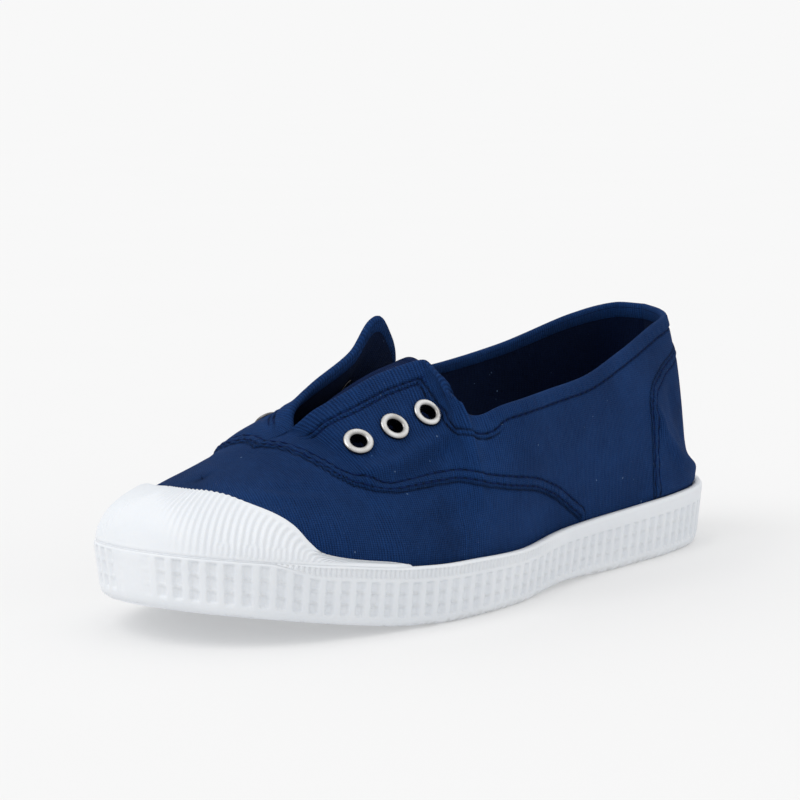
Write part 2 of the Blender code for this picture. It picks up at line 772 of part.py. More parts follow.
def eyelet_frame(upper, side, share, up):
    """Middle of an eyelet on the canvas, and its three directions, the last one outwards."""
    normal = upper.normal(side, share, up)
    middle = upper.point(side, share, up) + normal * OVERLAY
    along = np.array([1.0, 0.0, 0.0])
    along -= normal * (along @ normal)
    along /= np.linalg.norm(along)
    return middle, along, np.cross(normal, along), normal


def circle(frame, radius, height):
    """Points round the frame's outward direction, at a height along it."""
    middle, along, across, normal = frame
    points = []
    for step in range(EYELET_SEGMENTS):
        angle = 2 * math.pi * step / EYELET_SEGMENTS
        spoke = along * math.cos(angle) + across * math.sin(angle)
        points.append(middle + spoke * radius + normal * height)
    return points


def build_eyelets(upper, canvas, material):
    """Six ringed eyelets, each through a hole that its own cutter makes in the canvas."""
    wall = CANVAS + OVERLAY
    barrel = EYELET_BORE + EYELET_METAL
    back = -wall - EYELET_SEAT
    rim = [
        (EYELET_BORE, back - EYELET_METAL),
        (EYELET_BORE, EYELET_SEAT + 2 * EYELET_METAL),
        ((EYELET_BORE + EYELET_RADIUS) / 2, EYELET_SEAT + EYELET_CROWN),
        (EYELET_RADIUS, EYELET_SEAT + EYELET_METAL),
        (EYELET_RADIUS, EYELET_SEAT),
        (barrel, EYELET_SEAT),
        (barrel, back),
        (barrel + EYELET_FLANGE, back - EYELET_METAL),
    ]
    shares = np.arange(EYELET_SEGMENTS) / EYELET_SEGMENTS
    holes = Rings()
    for side in ("left", "right"):
        for number, (share, up) in enumerate(EYELETS, 1):
            frame = eyelet_frame(upper, side, share, up)
            eyelet = Rings()
            rows = [eyelet.ring(shares, circle(frame, *corner)) for corner in rim]
            for low, high in zip(rows, rows[1:] + rows[:1]):
                eyelet.join(low, high)
            make_solid(f"eyelet_{side}_{number}", eyelet.points, eyelet.faces, material)
            inner = holes.ring(shares, circle(frame, barrel + GAP, -2 * wall))
            outer = holes.ring(shares, circle(frame, barrel + GAP, wall))
            holes.join(inner, outer)
            holes.fill(inner)
            holes.fill(outer)
    cutter = make_solid("eyelet_cutter", holes.points, holes.faces, material)
    cutter.hide_render = True
    cutter.display_type = "WIRE"
    cut = canvas.modifiers.new("eyelet_holes", "BOOLEAN")
    cut.operation = "DIFFERENCE"
    cut.object = cutter


def main():
    clear_scene()
    outline = Outline()
    upper = Upper(outline)
    rubber = make_material("rubber_white", RUBBER_WHITE)
    build_sole(outline, rubber)
    canvas = build_upper(upper, make_material("canvas_blue", CANVAS_BLUE))
    build_toe_cap(upper, make_material("cap_white", RUBBER_WHITE))
    build_insole(outline, make_material("insole_blue", INSOLE_BLUE))
    build_gusset(make_material("gusset_blue", GUSSET_BLUE))
    build_eyelets(upper, canvas, make_material("nickel", NICKEL))


main()
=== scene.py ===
# Laceless canvas sneaker, left shoe: detailed pieces, materials, floor, light and camera
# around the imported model. Metres, in the model's own frame.

import json
import math

import bmesh
import bpy
import numpy as np
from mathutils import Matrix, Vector
from mathutils.bvhtree import BVHTree

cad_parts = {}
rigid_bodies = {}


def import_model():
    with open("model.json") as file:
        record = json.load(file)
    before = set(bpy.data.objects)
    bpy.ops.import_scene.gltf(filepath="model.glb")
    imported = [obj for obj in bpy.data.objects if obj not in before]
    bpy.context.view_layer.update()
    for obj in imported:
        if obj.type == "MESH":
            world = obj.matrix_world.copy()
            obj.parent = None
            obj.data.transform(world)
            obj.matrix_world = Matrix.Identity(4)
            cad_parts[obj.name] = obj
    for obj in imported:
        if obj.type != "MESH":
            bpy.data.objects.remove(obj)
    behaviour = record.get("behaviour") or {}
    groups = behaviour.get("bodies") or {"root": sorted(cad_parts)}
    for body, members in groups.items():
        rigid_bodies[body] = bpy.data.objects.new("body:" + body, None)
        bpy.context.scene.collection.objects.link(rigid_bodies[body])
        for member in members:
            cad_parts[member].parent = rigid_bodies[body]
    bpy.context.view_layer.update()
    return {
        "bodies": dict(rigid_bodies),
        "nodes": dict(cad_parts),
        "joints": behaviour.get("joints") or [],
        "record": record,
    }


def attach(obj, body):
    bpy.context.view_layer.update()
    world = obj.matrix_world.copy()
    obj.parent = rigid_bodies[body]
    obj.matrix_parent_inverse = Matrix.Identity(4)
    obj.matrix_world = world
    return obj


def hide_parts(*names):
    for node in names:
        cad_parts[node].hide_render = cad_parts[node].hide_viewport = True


# Driving sizes
LENGTH = 0.250
BALL_WIDTH = 0.0903
HEEL_WIDTH = 0.0660
SIDE_HEIGHT = 0.0175
TOE_SPRING = 0.0114
ARCH_HEIGHT = 0.0012
COLLAR_HEIGHT = 0.0760
INSTEP_HEIGHT = 0.0700

# Walls, layers and clearances
GAP = 0.0003
FOXING_WALL = 0.0030
PLATE = 0.0062
CANVAS = 0.0015
OVERLAY = 0.0007
INSOLE_THICKNESS = 0.0035
CAP_FOOT_WALL = 0.0028
CAP_TOP_WALL = 0.0016
GUSSET_WALL = 0.0012
CAP_CLEARANCE = 0.0006
UPPER_INSET = FOXING_WALL + GAP + OVERLAY

# Sole details
RIB_COUNT = 118
RIB_DEPTH = 0.0008
TREAD_DEPTH = 0.0014
TREAD_PITCH = 0.0098

# Steps in a curve, and the step of curve share over which a direction is taken
CURVE_STEPS = 24
NORMAL_STEP = 0.004

# Outline of the sole's widest edge. Columns: share of the length from the heel, then how
# far the left and the right edge stand out, in half heel widths and in half ball widths.
OUTLINE = [
    # along, left_heel, left_ball, right_heel, right_ball
    (0.000, 0.000, 0.000, 0.000, 0.000),
    (0.012, 0.300, 0.000, -0.340, 0.000),
    (0.040, 0.600, 0.000, -0.630, 0.000),
    (0.090, 0.860, 0.000, -0.840, 0.000),
    (0.160, 1.000, 0.000, -0.950, 0.000),
    (0.250, 1.065, 0.000, -0.925, 0.000),
    (0.350, 0.560, 0.405, -0.430, -0.310),
    (0.450, 0.280, 0.695, -0.210, -0.465),
    (0.550, 0.000, 1.015, 0.000, -0.705),
    (0.650, 0.000, 1.045, 0.000, -0.835),
    (0.740, 0.000, 0.985, 0.000, -0.940),
    (0.820, 0.000, 0.880, 0.000, -0.955),
    (0.890, 0.000, 0.730, 0.000, -0.870),
    (0.940, 0.000, 0.555, 0.000, -0.720),
    (0.975, 0.000, 0.340, 0.000, -0.530),
    (0.993, 0.000, 0.140, 0.000, -0.320),
    (1.000, 0.000, -0.098, 0.000, -0.098),
]

# Heights along the sole. Columns: share of the length, lower edge in arch heights and in
# toe springs, height of the side in side heights.
PROFILE = [
    # along, arch, spring, side
    (0.00, 0.30, 0.00, 1.13),
    (0.05, 0.00, 0.00, 1.12),
    (0.30, 0.00, 0.00, 1.05),
    (0.42, 1.00, 0.00, 0.95),
    (0.54, 0.00, 0.00, 0.93),
    (0.66, 0.00, 0.00, 0.98),
    (0.74, 0.00, 0.09, 0.98),
    (0.82, 0.00, 0.33, 0.97),
    (0.91, 0.00, 0.66, 0.93),
    (1.00, 0.00, 1.00, 0.88),
]

# Rows of the upper from the heel's middle to the toe's, one line from the sole to the top
# edge each. Columns: share of the half outline at the sole, top point along the length,
# across in half ball widths, its height in collar heights and in instep heights, then the
# curve's pulls in ball widths: out and up at the sole, forward, out and down at the top.
LEFT_ROWS = [
    # foot, along, across, collar, instep, out, rise, forward, top_out, top_down
    (0.000, 0.060, -0.045, 0.988, 0.000, -0.052, 0.140, -0.060, 0.000, 0.220),
    (0.045, 0.070, 0.133, 0.975, 0.000, -0.052, 0.140, -0.060, 0.020, 0.220),
    (0.090, 0.091, 0.255, 0.958, 0.000, -0.050, 0.140, -0.045, 0.045, 0.210),
    (0.150, 0.132, 0.320, 0.934, 0.000, -0.028, 0.140, -0.020, 0.070, 0.190),
    (0.260, 0.244, 0.476, 0.855, 0.000, -0.005, 0.150, -0.010, 0.065, 0.150),
    (0.360, 0.352, 0.598, 0.789, 0.000, 0.000, 0.150, 0.000, 0.050, 0.130),
    (0.430, 0.426, 0.653, 0.772, 0.000, 0.000, 0.150, 0.000, 0.045, 0.120),
    (0.500, 0.496, 0.698, 0.755, 0.000, 0.005, 0.150, 0.000, 0.050, 0.110),
    (0.548, 0.548, 0.687, 0.729, 0.000, 0.008, 0.150, 0.000, 0.055, 0.110),
    (0.578, 0.590, 0.622, 0.000, 0.832, 0.010, 0.150, 0.000, 0.075, 0.115),
    (0.590, 0.592, 0.522, 0.000, 0.890, 0.010, 0.150, 0.010, 0.090, 0.125),
    (0.603, 0.586, 0.415, 0.000, 0.946, 0.010, 0.150, 0.015, 0.090, 0.135),
    (0.615, 0.584, 0.288, 0.000, 1.000, 0.010, 0.150, 0.015, 0.095, 0.140),
    (0.645, 0.643, 0.188, 0.000, 0.957, 0.010, 0.150, 0.010, 0.110, 0.130),
    (0.675, 0.694, 0.133, 0.000, 0.891, 0.010, 0.155, 0.000, 0.120, 0.100),
    (0.700, 0.732, 0.022, 0.000, 0.814, 0.008, 0.160, 0.000, 0.140, 0.050),
    (0.722, 0.739, -0.120, 0.000, 0.740, 0.005, 0.165, 0.000, 0.170, -0.005),
    (0.765, 0.788, -0.140, 0.000, 0.708, 0.002, 0.170, 0.000, 0.200, 0.005),
    (0.825, 0.832, -0.144, 0.000, 0.656, 0.000, 0.165, 0.030, 0.190, 0.010),
    (0.885, 0.860, -0.144, 0.000, 0.630, -0.002, 0.130, 0.100, 0.150, 0.020),
    (0.945, 0.876, -0.144, 0.000, 0.611, -0.002, 0.125, 0.170, 0.080, 0.028),
    (1.000, 0.880, -0.144, 0.000, 0.606, -0.002, 0.115, 0.200, 0.000, 0.030),
]
RIGHT_ROWS = [
    # foot, along, across, collar, instep, out, rise, forward, top_out, top_down
    (0.000, 0.060, 0.045, 0.988, 0.000, -0.052, 0.140, -0.060, 0.000, 0.220),
    (0.045, 0.070, 0.220, 0.992, 0.000, -0.052, 0.140, -0.060, 0.020, 0.220),
    (0.090, 0.091, 0.343, 0.978, 0.000, -0.050, 0.140, -0.045, 0.045, 0.210),
    (0.150, 0.132, 0.420, 0.950, 0.000, -0.028, 0.140, -0.020, 0.060, 0.190),
    (0.260, 0.244, 0.610, 0.840, 0.000, -0.005, 0.150, -0.010, 0.045, 0.150),
    (0.360, 0.346, 0.700, 0.786, 0.000, 0.000, 0.150, 0.000, 0.030, 0.130),
    (0.430, 0.402, 0.738, 0.768, 0.000, 0.000, 0.150, 0.000, 0.030, 0.120),
    (0.500, 0.438, 0.742, 0.758, 0.000, 0.005, 0.160, 0.000, 0.030, 0.110),
    (0.548, 0.454, 0.690, 0.776, 0.000, 0.008, 0.160, 0.000, 0.035, 0.120),
    (0.578, 0.468, 0.580, 0.000, 0.893, 0.010, 0.170, 0.010, 0.045, 0.135),
    (0.590, 0.490, 0.450, 0.000, 0.968, 0.010, 0.170, 0.015, 0.045, 0.155),
    (0.603, 0.520, 0.343, 0.000, 1.064, 0.010, 0.170, 0.020, 0.040, 0.180),
    (0.615, 0.553, 0.277, 0.000, 1.150, 0.010, 0.170, 0.020, 0.035, 0.210),
    (0.645, 0.604, 0.266, 0.000, 1.010, 0.010, 0.170, 0.010, 0.050, 0.180),
    (0.675, 0.668, 0.266, 0.000, 0.907, 0.010, 0.165, 0.000, 0.070, 0.130),
    (0.700, 0.716, 0.230, 0.000, 0.820, 0.008, 0.195, 0.000, 0.140, 0.010),
    (0.722, 0.739, 0.120, 0.000, 0.740, 0.005, 0.165, 0.000, 0.200, -0.105),
    (0.765, 0.788, 0.140, 0.000, 0.708, 0.002, 0.150, 0.000, 0.180, -0.010),
    (0.825, 0.832, 0.144, 0.000, 0.656, 0.000, 0.140, 0.030, 0.150, 0.005),
    (0.885, 0.860, 0.144, 0.000, 0.630, -0.002, 0.110, 0.100, 0.130, 0.020),
    (0.945, 0.876, 0.144, 0.000, 0.611, -0.002, 0.105, 0.170, 0.080, 0.028),
    (1.000, 0.880, 0.144, 0.000, 0.606, -0.002, 0.115, 0.200, 0.000, 0.030),
]
SLIT_TIP_FOOT = 0.722

# Edge of the heel stay, then of the quarter where it laps over the vamp. Columns: share of
# the half outline, share of the row's curve.
SEAM = [
    # foot, up
    (0.000, 0.880),
    (0.108, 0.825),
    (0.170, 0.780),
    (0.205, 0.720),
    (0.222, 0.620),
    (0.230, 0.300),
    (0.236, 0.030),
    (0.250, 0.030),
    (0.365, 0.030),
    (0.383, 0.030),
    (0.404, 0.113),
    (0.434, 0.225),
    (0.488, 0.355),
    (0.538, 0.420),
    (0.618, 0.405),
    (0.680, 0.415),
    (0.702, 0.438),
    (0.728, 0.475),
    (0.742, 0.560),
    (0.752, 0.700),
    (0.760, 0.880),
    (0.768, 0.970),
    (0.785, 0.970),
    (0.870, 0.600),
    (1.000, 0.500),
]

# Upper edge of the toe cap, with its low tail along the sole. Columns: share of the half
# outline, share of the row's curve.
CAP_EDGE = [
    # foot, up
    (0.690, 0.000),
    (0.720, 0.022),
    (0.760, 0.028),
    (0.785, 0.042),
    (0.800, 0.062),
    (0.812, 0.120),
    (0.826, 0.228),
    (0.858, 0.400),
    (0.896, 0.575),
    (0.926, 0.655),
    (1.000, 0.730),
]

# The gusset under the flaps. Columns: share of the length, middle across and half width
# in half ball widths, crown height in instep heights, drop at the sides likewise.
GUSSET = [
    # along, across, half_width, crown, drop
    (0.532, -0.080, 0.340, 0.985, 0.250),
    (0.580, -0.080, 0.330, 0.955, 0.220),
    (0.632, -0.080, 0.290, 0.900, 0.170),
    (0.684, -0.085, 0.210, 0.820, 0.100),
    (0.728, -0.100, 0.130, 0.703, 0.030),
    (0.764, -0.060, 0.100, 0.682, 0.010),
]

# Eyelets of each flap, from the toe. Columns: share of the half outline, share of the
# row's curve.
EYELETS = [
    # foot, up
    (0.689, 0.697),
    (0.656, 0.710),
    (0.629, 0.722),
]


def limited_slopes(knots, values):
    """Slopes for a cubic through the values that never overshoots them."""
    steps = np.diff(knots)
    rises = np.diff(values) / steps
    slopes = np.zeros(len(values))
    for i in range(1, len(values) - 1):
        if rises[i - 1] * rises[i] > 0:
            before = 2 * steps[i] + steps[i - 1]
            after = steps[i] + 2 * steps[i - 1]
            slopes[i] = (before + after) / (before / rises[i - 1] + after / rises[i])
    slopes[0] = rises[0]
    slopes[-1] = rises[-1]
    return slopes


def follow(table, column, at):
    """One column of a table, read smoothly at the given values of its first column."""
    knots = np.array([row[0] for row in table], float)
    values = np.array([row[column] for row in table], float)
    slopes = limited_slopes(knots, values)
    at = np.clip(np.asarray(at, float), knots[0], knots[-1])
    index = np.clip(np.searchsorted(knots, at, side="right") - 1, 0, len(knots) - 2)
    width = knots[index + 1] - knots[index]
    t = (at - knots[index]) / width
    return (
        (1 + 2 * t) * (1 - t) ** 2 * values[index]
        + t * (1 - t) ** 2 * width * slopes[index]
        + t * t * (3 - 2 * t) * values[index + 1]
        + t * t * (t - 1) * width * slopes[index + 1]
    )


def closed_curve(points, count):
    """A smooth closed curve through the points, read at even steps of its own length."""
    points = np.asarray(points, float)
    chord = np.linalg.norm(np.roll(points, -1, axis=0) - points, axis=1)
    before = np.roll(points, 1, axis=0)
    after = np.roll(points, -1, axis=0)
    chord_before = np.roll(chord, 1)[:, None]
    chord_after = chord[:, None]
    tangent = (
        (points - before) / chord_before * chord_after
        + (after - points) / chord_after * chord_before
    ) / (chord_before + chord_after)
    fine = []
    for i in range(len(points)):
        j = (i + 1) % len(points)
        t = np.arange(CURVE_STEPS)[:, None] / CURVE_STEPS
        fine.append(
            (1 + 2 * t) * (1 - t) ** 2 * points[i]
            + t * (1 - t) ** 2 * chord[i] * tangent[i]
            + t * t * (3 - 2 * t) * points[j]
            + t * t * (t - 1) * chord[i] * tangent[j]
        )
    fine = np.concatenate(fine)
    fine = np.vstack([fine, fine[:1]])
    travel = np.concatenate([[0], np.cumsum(np.linalg.norm(np.diff(fine, axis=0), axis=1))])
    even = np.linspace(0, travel[-1], count + 1)[:-1]
    return np.column_stack([np.interp(even, travel, fine[:, k]) for k in range(2)])


def outline_table_points():
    half_heel = HEEL_WIDTH / 2
    half_ball = BALL_WIDTH / 2
    left = []
    right = []
    for along, left_heel, left_ball, right_heel, right_ball in OUTLINE:
        x = along * LENGTH
        left.append((x, left_heel * half_heel + left_ball * half_ball))
        right.append((x, right_heel * half_heel + right_ball * half_ball))
    return left + right[-2:0:-1]


class Outline:
    """The sole's widest edge, read by share of its whole length from the heel's middle,
    along the left side to the toe and back along the right."""

    FINE = 2400

    def __init__(self):
        curve = closed_curve(outline_table_points(), self.FINE)
        low = curve.min(axis=0)
        high = curve.max(axis=0)
        curve = curve - (low + high) / 2
        self.curve = curve
        self.toe = float(np.argmax(curve[:, 0])) / self.FINE
        tangent = np.roll(curve, -1, axis=0) - np.roll(curve, 1, axis=0)
        tangent /= np.linalg.norm(tangent, axis=1)[:, None]
        self.normal = np.column_stack([-tangent[:, 1], tangent[:, 0]])

    def at(self, share, offset=0.0):
        position = np.mod(np.asarray(share, float), 1.0) * self.FINE
        low = np.floor(position).astype(int) % self.FINE
        high = (low + 1) % self.FINE
        blend = (position - np.floor(position))[..., None]
        point = self.curve[low] * (1 - blend) + self.curve[high] * blend
        normal = self.normal[low] * (1 - blend) + self.normal[high] * blend
        normal /= np.linalg.norm(normal, axis=-1)[..., None]
        return point + normal * np.asarray(offset, float)[..., None], normal

    def foot(self, side, share):
        """The place on the outline of a half-outline share: 0 at the heel, 1 at the toe."""
        if side == "left":
            return np.asarray(share, float) * self.toe
        return 1.0 - np.asarray(share, float) * (1.0 - self.toe)


def along_share(x):
    return np.asarray(x, float) / LENGTH + 0.5


def lower_edge(x):
    share = along_share(x)
    return follow(PROFILE, 1, share) * ARCH_HEIGHT + follow(PROFILE, 2, share) * TOE_SPRING


def rim_height(x):
    return lower_edge(x) + follow(PROFILE, 3, along_share(x)) * SIDE_HEIGHT


def floor_height(x):
    return lower_edge(x) + PLATE


class Upper:
    """The canvas surface without its overlay, read by side, share of the half outline and
    share of the row's curve from the sole's rim to the top edge."""

    def __init__(self, outline):
        self.outline = outline
        self.tables = {"left": LEFT_ROWS, "right": RIGHT_ROWS}

    def row(self, side, share):
        """The four points of a row's curve, and its foot on the sole's floor."""
        table = self.tables[side]
        sign = 1.0 if side == "left" else -1.0
        read = [follow(table, column, share) for column in range(1, 10)]
        along, across, collar, instep, out, rise, forward, top_out, top_down = read
        edge, normal = self.outline.at(self.outline.foot(side, share))
        place = edge - normal * UPPER_INSET
        foot = np.array([place[0], place[1], float(rim_height(edge[0]))])
        floor = np.array([place[0], place[1], float(floor_height(edge[0])) + GAP])
        top = np.array([
            (along - 0.5) * LENGTH,
            sign * across * BALL_WIDTH / 2,
            collar * COLLAR_HEIGHT + instep * INSTEP_HEIGHT,
        ])
        pull = np.array([normal[0] * out, normal[1] * out, rise]) * BALL_WIDTH
        top_pull = np.array([forward, sign * top_out, -top_down]) * BALL_WIDTH
        return floor, foot, foot + pull, top + top_pull, top

    def point(self, side, share, up):
        floor, a, b, c, d = self.row(side, share)
        if up < 0:
            return a + (floor - a) * -up
        rest = 1 - up
        return a * rest**3 + 3 * b * up * rest**2 + 3 * c * up**2 * rest + d * up**3

    def normal(self, side, share, up):
        ahead = self.point(side, share + NORMAL_STEP, up)
        behind = self.point(side, share - NORMAL_STEP, up)
        above = self.point(side, share, min(up + NORMAL_STEP, 1.0))
        below = self.point(side, share, max(up - NORMAL_STEP, 0.0))
        across = ahead - behind
        rising = above - below
        normal = np.cross(across, rising)
        if side == "left":
            normal = -normal
        return normal / np.linalg.norm(normal)


def ring_shares(outline, count):
    """Even steps from the heel to the toe on each side, so that both sides match."""
    half = count // 2
    left = np.arange(half) / half * outline.toe
    right = outline.toe + np.arange(half) / half * (1 - outline.toe)
    return np.concatenate([left, right])


def eyelet_frame(upper, side, share, up):
    """Middle of an eyelet on the canvas, and its three directions, the last one outwards."""
    normal = upper.normal(side, share, up)
    middle = upper.point(side, share, up) + normal * OVERLAY
    along = np.array([1.0, 0.0, 0.0])
    along -= normal * (along @ normal)
    along /= np.linalg.norm(along)
    return middle, along, np.cross(normal, along), normal


MM = 0.001

# The camera: where it looks from, and the photograph's field of view
CAMERA_PLACE = (0.68396, 0.56955, 0.17756)
CAMERA_TURN = 130.5
CAMERA_PITCH = 7.8
CAMERA_LENS = 133.2

# Fineness of the detailed pieces. Levels are shares of a row's curve, and run below the foot.
UPPER_LEVELS = np.concatenate([[-1.0, -0.5], np.linspace(0.0, 0.90, 80), np.linspace(0.905, 1.0, 16)])
CAP_SHARES = 360
CAP_ROWS = 36
SOLE_STEPS = 12
LINING_SKIP = (2, 3)
RING_SEGMENTS = 48
GUSSET_GRID = (90, 120)
INSOLE_SHARES = 480

# Points measured against a line at a time, so that little memory is used
BLOCK = 4000

# Holes of the eyelets in mm: in the canvas, in the lining, and how near a hole is looked for
HOLE_REACH = 3.1
LINING_HOLE_REACH = 3.0
HOLE_SEARCH = 7.0

# Charts of distance to a line and of travel along it, and the distance in mm they stop at
CHART_NAMES = (
    "quarter_gap", "quarter_run", "stay_gap", "stay_run", "hem_gap", "hem_run", "hem_there", "flap",
)
CHART_REACH = 9

# Threads, in mm
STITCH_LENGTH = 2.3
STITCH_GAP = 0.7
STITCH_RADIUS = 0.20

# Seams in mm: the height of a lapped edge, and the distances of its two sewn lines from it
QUARTER_STEP = 0.65
STAY_STEP = 0.45
FIRST_SEW = 0.9
QUARTER_SEW = 3.5
STAY_SEW = 3.4

# Share of the half outline at which the heel stay ends
STAY_END = 0.238

# Rows of faces down a turned-in hem, and their step in mm
HEM_ROWS = 6
HEM_ROW_STEP = 0.8

# Hems in mm: their width at the collar and at the flaps, the second line's distance beyond the
# hem there, and the first line's. The flaps' hem begins and is whole at two shares of the half
# outline.
COLLAR_HEM = 3.3
FLAP_HEM = 4.7
FLAP_CHANNEL = 1.7
HEM_SEW = 0.1
FLAP_START = 0.530
FLAP_FULL = 0.560

# The cap's fine ribs in mm, and how far their upper ends turn towards the toe
CAP_RIB_PITCH = 2.05
CAP_RIB_HEIGHT = 0.24
CAP_RIB_LEAN = 8.0

# Light: strength of the sky and of the glowing floor, half the floor's width in metres, then
# the suns: direction round from +X, height above the floor, softness in degrees, strength
WORLD_STRENGTH = 0.94
FLOOR_GLOW = 0.30
FLOOR_HALF = 600.0
SUNS = [
    ("key", -15.0, 52.0, 40.0, 0.80),
]

# Lines pressed or raised in the canvas. Side, height in mm (below 0 for a trough),
# half width in mm, then points as share of the half outline and share of the row's curve.
FOLDS = [
    ("left", 1.4, 2.6, [(0.71, 0.53), (0.66, 0.55), (0.62, 0.61), (0.59, 0.74)]),
    ("left", -1.4, 2.6, [(0.70, 0.47), (0.65, 0.50), (0.61, 0.56)]),
    ("left", 1.7, 3.0, [(0.21, 0.60), (0.20, 0.42), (0.16, 0.22), (0.08, 0.08)]),
    ("left", -1.7, 5.0, [(0.15, 0.70), (0.15, 0.50), (0.11, 0.28)]),
    ("left", 0.6, 3.2, [(0.24, 0.05), (0.14, 0.05), (0.05, 0.06)]),
    ("left", -0.5, 2.4, [(0.84, 0.62), (0.80, 0.52), (0.76, 0.47)]),
    ("left", 0.4, 2.6, [(0.85, 0.55), (0.81, 0.46), (0.77, 0.40)]),
    ("left", -0.7, 3.0, [(0.70, 0.20), (0.63, 0.26), (0.56, 0.30)]),
    ("left", 0.4, 3.2, [(0.52, 0.70), (0.46, 0.61), (0.40, 0.50)]),
    ("right", 0.8, 2.8, [(0.69, 0.54), (0.65, 0.58), (0.61, 0.68)]),
    ("right", -0.8, 2.8, [(0.69, 0.47), (0.65, 0.51), (0.61, 0.60)]),
    ("right", -0.6, 4.0, [(0.15, 0.65), (0.13, 0.48), (0.11, 0.30)]),
]


def ramp(low, high, value):
    """0 below low, 1 above high, smooth between. Falls instead if low is above high."""
    t = np.clip((np.asarray(value, float) - low) / (high - low), 0.0, 1.0)
    return t * t * (3 - 2 * t)


def groove(distance, centre, width, depth):
    return -depth * np.exp(-(((distance - centre) / width) ** 2))


def row_points(upper, side, share, ups):
    """Points of one row's curve at many curve shares, the hidden part below 0 included."""
    floor, a, b, c, d = upper.row(side, share)
    t = np.clip(np.asarray(ups, float), 0.0, 1.0)[:, None]
    rest = 1 - t
    curve = a * rest**3 + 3 * b * t * rest**2 + 3 * c * t**2 * rest + d * t**3
    down = np.clip(-np.asarray(ups, float), 0.0, 1.0)[:, None]
    return curve + (floor - a) * down


class Line:
    """A line drawn on the canvas, with its points' places and travel in millimetres."""

    def __init__(self, upper, side, knots, steps=14):
        knots = np.array(knots, float)
        shares = []
        ups = []
        for low, high in zip(knots, knots[1:]):
            part = np.arange(steps) / steps
            shares.append(low[0] + (high[0] - low[0]) * part)
            ups.append(low[1] + (high[1] - low[1]) * part)
        self.shares = np.concatenate(shares + [knots[-1:, 0]])
        self.ups = np.concatenate(ups + [knots[-1:, 1]])
        pairs = zip(self.shares, self.ups)
        self.points = np.array([upper.point(side, s, u) for s, u in pairs]) / MM
        steps_long = np.linalg.norm(np.diff(self.points, axis=0), axis=1)
        self.travel = np.concatenate([[0.0], np.cumsum(steps_long)])

    def near(self, points):
        """Distance of each point to the line, and how far along the line it is, in mm."""
        start = self.points[:-1]
        reach = self.points[1:] - start
        length = np.maximum((reach**2).sum(axis=1), 1e-9)
        distance = np.empty(len(points))
        travel = np.empty(len(points))
        for low in range(0, len(points), BLOCK):
            block = points[low:low + BLOCK]
            from_start = block[:, None, :] - start[None]
            t = np.clip((from_start * reach).sum(axis=2) / length, 0.0, 1.0)
            gap = np.linalg.norm(from_start - reach * t[..., None], axis=2)
            best = gap.argmin(axis=1)
            rows = np.arange(len(block))
            distance[low:low + BLOCK] = gap[rows, best]
            along = np.diff(self.travel)[best] * t[rows, best]
            travel[low:low + BLOCK] = self.travel[best] + along
        return distance, travel


def table_line(low, high):
    return [row for row in SEAM if low <= row[0] <= high]


def quarter_line(upper, side):
    """The quarter's lapped edge. It passes the seam table's rows, and between them it keeps a
    smoothly read height above the floor, so that the flap's corner puts no dip in it."""
    rows = table_line(0.383, 0.702)
    heights = [(s, row_points(upper, side, s, [u])[0][2]) for s, u in rows]
    shares = np.linspace(rows[0][0], rows[-1][0], 60)
    levels = np.linspace(0.0, 1.0, 81)
    knots = []
    for share, height in zip(shares, follow(heights, 1, shares)):
        rise = np.maximum.accumulate(row_points(upper, side, share, levels)[:, 2])
        knots.append((share, float(np.interp(height, rise, levels))))
    return knots + table_line(0.71, 0.768) + [(0.774, 1.0)]


